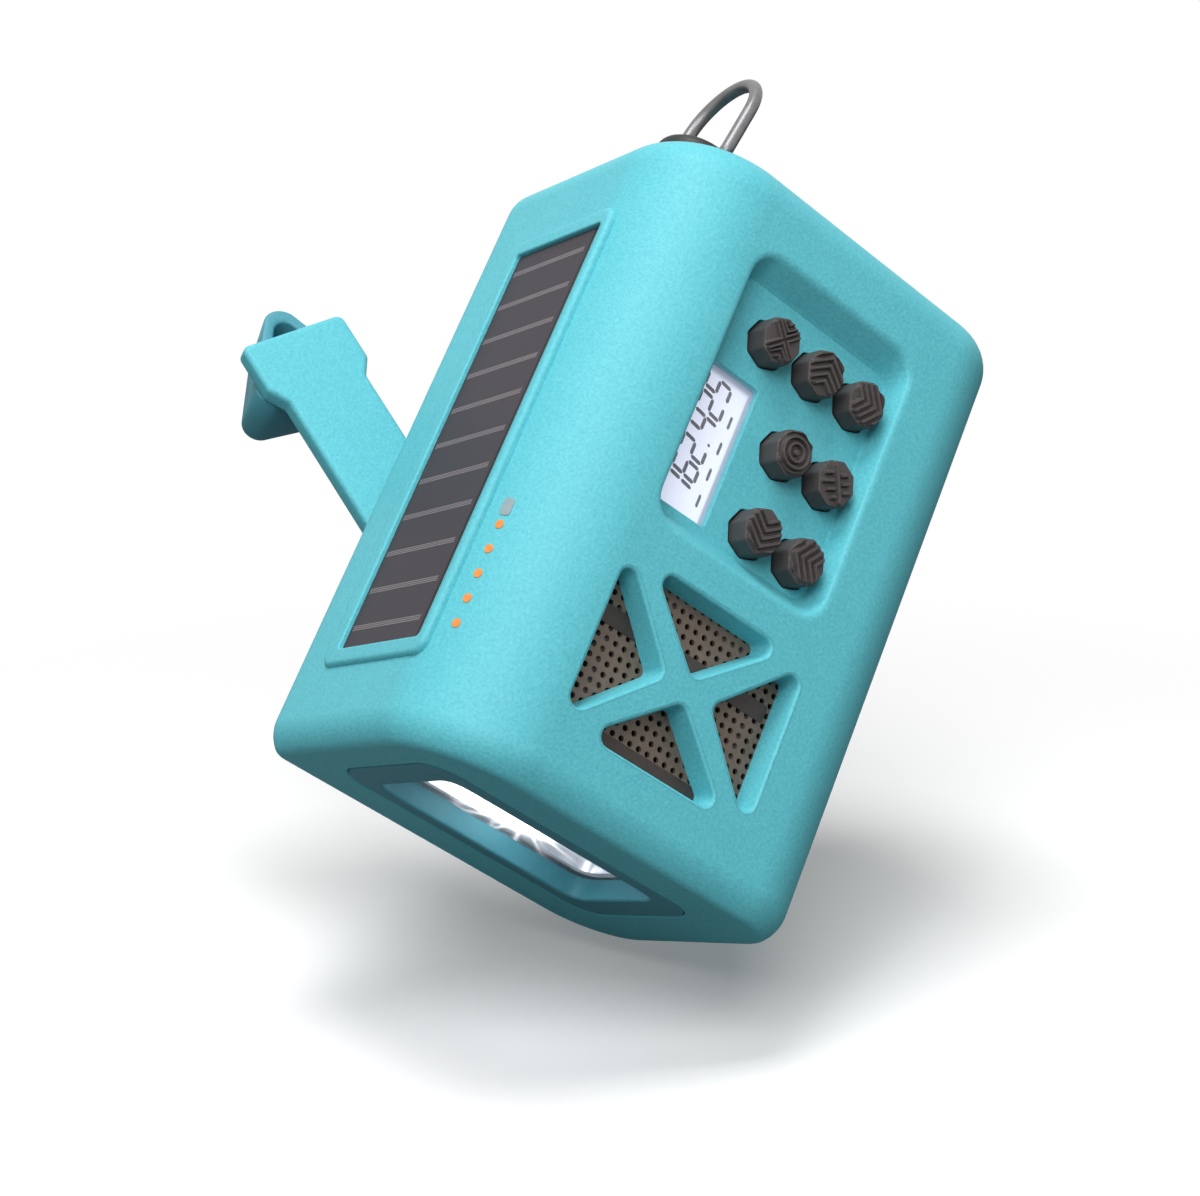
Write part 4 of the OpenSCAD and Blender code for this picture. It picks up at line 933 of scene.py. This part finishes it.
# ---------------------------------------------------------------------------
# Gear train behind the cover: plastic wheels on steel pins, a brass bush in the
# cover, and the generator's magnet rotor.
cloudy("acetal", (206, 200, 182), (224, 218, 202), {}, 300, (0.4, 0.1)).coat(
    "drive_gear", "idler_gear")
cloudy("brass", (186, 150, 82), (208, 172, 100), {"Metallic": 0.95}, 300,
       (0.25, 0.12)).coat("crank_bush")
cloudy("rotor_metal", (118, 120, 124), (146, 148, 152), {"Metallic": 0.85}, 200,
       (0.3, 0.15)).coat("generator_rotor")


# ---------------------------------------------------------------------------
# Crank: a hub with a fork on the cover, the flat arm with its wider head, and
# the hollow three-cornered grip that turns on a pin. All moulded in teal; the grip's darker teal is
# painted shade.
CRANK_TURN, CRANK_LIFT = math.radians(49.4), math.radians(24)
hinge = middle_of("fold_pin")
arm_axes = np.array(Matrix.Rotation(-CRANK_TURN, 3, "Y") @ Matrix.Rotation(CRANK_LIFT, 3, "Z"))


def on_arm(points):
    """From the arm's own frame (along it, away from the body, across it) to the body's."""
    return points @ arm_axes.T + hinge


def arm_front(a, b, t):
    """A place on the arm, at a depth below its face towards the controls."""
    return on_arm(np.stack([a, t - ARM_T / 2, b], -1))


ARM_T, ARM_W, ARM_L, HEAD_W, HEAD_L, STEP = 4.5, 21.6, 59.2, 27.9, 12.6, 4.4
EAR_R, TONGUE, PIN_R, KNOB_S = 3.3, 14.0, 1.5, 52.7   # fork's ears, tongue, fold pin, grip's axis
FRONT_EDGE, FRONT_IN, REAR_EDGE, REAR_IN = 1.3, 1.8, 0.7, 1.4     # edge roundings, and their faces
half_w, half_head = ARM_W / 2, HEAD_W / 2
arm_start, head_start = EAR_R + 1.6, ARM_L - HEAD_L
arm_line = Outline([(arm_start, -half_w), (head_start - STEP, -half_w), (head_start, -half_head),
                    (ARM_L, -half_head), (ARM_L, half_head), (head_start, half_head),
                    (head_start - STEP, half_w), (arm_start, half_w)], 2.0, 7)
arm_skin = Skin()
carry(arm_skin, arm_line, rounded([(FRONT_IN, 0), (0, 0), (0, ARM_T), (REAR_IN, ARM_T)],
                                  (FRONT_EDGE, REAR_EDGE), 6), arm_front)
arm_skin.fill(level_loop(arm_line, FRONT_IN, arm_front))

TURNS, PIN_HOLE_R, PIN_HOLE_END = 48, 2.1, 1.5
round_turn = np.linspace(0, 2 * math.pi, TURNS, endpoint=False)


def circle(radius, depth):
    """A circle about the grip's axis: radius * (cosine, sine) of even angles, at a depth."""
    return arm_front(KNOB_S + radius * np.cos(round_turn), radius * np.sin(round_turn),
                     np.full(TURNS, depth))


hole_top, hole_end = circle(PIN_HOLE_R, ARM_T), circle(PIN_HOLE_R, PIN_HOLE_END)
arm_skin.fill(level_loop(arm_line, REAR_IN, arm_front, ARM_T), hole_top)
arm_skin.grid(np.stack([hole_top, hole_end]))
arm_skin.fill(hole_end)

# the barrel round the fold pin, and the neck that joins it to the arm
barrel = rounded([(PIN_R + 0.1, -TONGUE / 2), (EAR_R - 0.2, -TONGUE / 2), (EAR_R - 0.2, TONGUE / 2),
                  (PIN_R + 0.1, TONGUE / 2)], (0.3, 0.3), 3)
barrel = np.concatenate([barrel, barrel[:1]])
arm_skin.grid(on_arm(np.stack([barrel[:, :1] * np.cos(round_turn), barrel[:, :1] * np.sin(round_turn),
                               np.broadcast_to(barrel[:, 1:2], (len(barrel), TURNS))], -1)))
NECK_FROM, NECK_SINK = 2.2, 0.06
neck_line = rectangle((NECK_FROM + EAR_R + NECK_FROM) / 2, 0, EAR_R, TONGUE, 0.5, 3)
plate(arm_skin, neck_line, arm_front, NECK_SINK, ARM_T - NECK_SINK, 0.12)
arm_skin.piece("arm", "arm", teal, 50, replaces=["crank_arm"])

soften("hub", "crank_hub", "crank", teal, 0.4, 3)
KNOB_L, KNOB_GAP = 18.8, 0.3
SHANK_R, HEAD_R, HEAD_T, TINY = 2.0, 3.3, 0.9, 0.01
PIN_START, PIN_END = 1.6, ARM_T + KNOB_GAP + KNOB_L - 0.2    # it starts inside the arm
pin_line = rounded([(TINY, PIN_START), (SHANK_R, PIN_START), (SHANK_R, PIN_END - HEAD_T),
                    (HEAD_R, PIN_END - HEAD_T), (HEAD_R, PIN_END), (TINY, PIN_END)],
                   (0.2, 0, 0.1, 0.3), 3)
knob_pin = Skin()
knob_pin.grid(np.stack([circle(radius, depth) for radius, depth in pin_line]))
knob_pin.piece("grip_pin", "arm", steel, 40, replaces=["knob_pin"])

# the grip: walls with rounded rims round a hollow, a closed far end and a middle tube
KNOB_TURN, KNOB_R, CORNER_R, TAPER, KNOB_WALL, KNOB_END = math.radians(7), 15.0, 4.6, 0.87, 1.8, 2.0
lobes = [-KNOB_TURN - math.radians(120) * k for k in (2, 1, 0)]


def lobe_line(reach, corner, steps=15):
    """Hull of three circles about the grip's axis, each its centre plus a third of a turn."""
    angle = np.array(lobes)[:, None] + np.linspace(-math.pi / 3, math.pi / 3, steps)
    centre = (reach - corner) * np.stack([np.cos(lobes), np.sin(lobes)], -1)
    return (centre[:, None] + corner * np.stack([np.cos(angle), np.sin(angle)], -1)).reshape(-1, 2)


outer_line = lobe_line(KNOB_R, CORNER_R)
inner_line = lobe_line(KNOB_R - 2 * KNOB_WALL, CORNER_R - KNOB_WALL)
KNOB_FOOT = ARM_T + KNOB_GAP       # depth of the grip's open end


def grip_loop(share, height):
    """Inner outline * (1 - share) + outer outline * share, shrunk in step with the height."""
    scale = 1 - (1 - TAPER) * height / KNOB_L
    line = (inner_line * (1 - share) + outer_line * share) * scale
    return arm_front(KNOB_S + line[:, 0], line[:, 1], np.full(len(line), KNOB_FOOT + height))


END_EDGE, END_SHARE = 1.2, 0.62    # the far end's rounding: its height, and its share of the wall
FLOOR_AT = KNOB_L - KNOB_END       # height of the floor of the hollow
foot_rim = [(0.0, FLOOR_AT), (0.0, 0.5), (0.08, 0.15), (0.25, 0.0),
            (0.75, 0.0), (0.92, 0.15), (1.0, 0.5)]
bend = np.linspace(0, math.pi / 2, 6)
end_rim = [(1 - END_SHARE * (1 - math.cos(a)), KNOB_L - END_EDGE + END_EDGE * math.sin(a)) for a in bend]
grip = Skin()
grip.grid(np.stack([grip_loop(share, height) for share, height in foot_rim + end_rim]))
TUBE_R, BORE_R, SINK_R, SINK = 4.4, 2.06, 3.7, 1.4
tube = [(TUBE_R, FLOOR_AT), (TUBE_R, 0.0), (BORE_R, 0.0), (BORE_R, KNOB_L - SINK),
        (SINK_R, KNOB_L - SINK), (SINK_R, KNOB_L)]
tube_loops = [circle(radius, KNOB_FOOT + height) for radius, height in tube]
grip.fill(grip_loop(0.0, FLOOR_AT), tube_loops[0])
grip.grid(np.stack(tube_loops))
grip.fill(grip_loop(1 - END_SHARE, KNOB_L), tube_loops[-1])
grip.piece("grip", "knob", shaded_teal, 45, replaces=["crank_knob"])


# ---------------------------------------------------------------------------
# Lanyard ring: a black boss held by a nut inside, and a satin grey wire bent
# into a ring whose ends sit in the boss and let it swing.
boss_mid = middle_of("bail_boss")
black = cloudy("black_moulding", (24, 26, 25), (36, 38, 36), {"Specular IOR Level": 0.4}, 1100,
               (0.45, 0.15), 0.00005)
soften("ring_boss", "bail_boss", "housing", black, 0.3, 2)

satin = Finish("satin_wire", {"Metallic": 0.55, "Specular IOR Level": 0.6})
drawn = satin.at.noise(500, 2)
satin.feed("Base Color", drawn.mix(srgb(104, 104, 106), srgb(128, 127, 128)))
satin.feed("Roughness", drawn * 0.12 + 0.34)
# The wire's path is two legs and half a circle. Its skin is the path plus WIRE_R * cosine of the
# angle round it along the path's own side, and WIRE_R * sine along the ring's axis.
LEG_PIN, WIRE_R, BEND_R, LEG = 3.0, 1.5, 11.3, 12.6   # axis off the end, wire, half circle, leg
PIN_IN = BEND_R - 4.0              # the wire's ends turn in to here, inside the boss
RING_TILT = math.radians(7)
ring_turn = np.array(Matrix.Rotation(RING_TILT, 3, "Y"))
ring_mid = np.array([RING_END + LEG_PIN, boss_mid[1], boss_mid[2]])
sweep = np.linspace(-math.pi / 2, math.pi / 2, 49)[1:-1]
leg = rounded([(0, -PIN_IN), (0, -BEND_R), (LEG, -BEND_R)], (1.7,), 8)
bow = np.stack([LEG + BEND_R * np.cos(sweep), BEND_R * np.sin(sweep)], -1)
path = np.concatenate([leg, bow, leg[::-1] * (1, -1)])
ahead = np.gradient(path, axis=0)
ahead /= np.linalg.norm(ahead, axis=1)[:, None]
around = np.linspace(0, 2 * math.pi, 28, endpoint=False)
beside = np.stack([ahead[:, 1], -ahead[:, 0]], -1)
flat_skin = path[:, None] + WIRE_R * np.cos(around)[None, :, None] * beside[:, None]
lift = np.broadcast_to(WIRE_R * np.sin(around), flat_skin.shape[:2])
wire = np.concatenate([flat_skin, lift[..., None]], -1) @ ring_turn.T + ring_mid
ring = Skin()
ring.grid(wire)
ring.fill(wire[0])
ring.fill(wire[-1])
ring.piece("ring", "lanyard_ring", satin, 60, replaces=["bail"])


# ---------------------------------------------------------------------------
# Aerials: the ferrite rod with its copper coil under the solar panel, and the
# chromed telescopic aerial of three tubes that swings on a pin in the cover.
cloudy("ferrite", (40, 39, 41), (58, 56, 58), {}, 500, (0.5, 0.2), 0.00005).coat("ferrite_rod")
COIL_RATE = 2200.0                 # radians per metre: one turn of wire in 2.9 mm
copper = Finish("copper_coil", {"Metallic": 0.7, "Roughness": 0.35})
turns = (copper.at.axis("X") * COIL_RATE).math("SINE") * 0.5 + 0.5
copper.feed("Base Color", turns.mix(srgb(120, 62, 34), srgb(186, 106, 62)))
copper.bump(turns, 0.0002, 0.8)
copper.coat("ferrite_coil")
chrome = cloudy("chrome", (196, 198, 202), (212, 214, 218), {"Metallic": 1.0}, 200, (0.08, 0.06))
soften("aerial_pin", "whip_pin", "housing", chrome, 0.3, 3)
soften("aerial_foot", "whip_base", "aerial_base", chrome, 0.2, 2)
soften("aerial_tube", "whip_middle", "aerial_middle", chrome, 0.1, 1)
soften("aerial_top", "whip_tip", "aerial_tip", chrome, 0.3, 3)
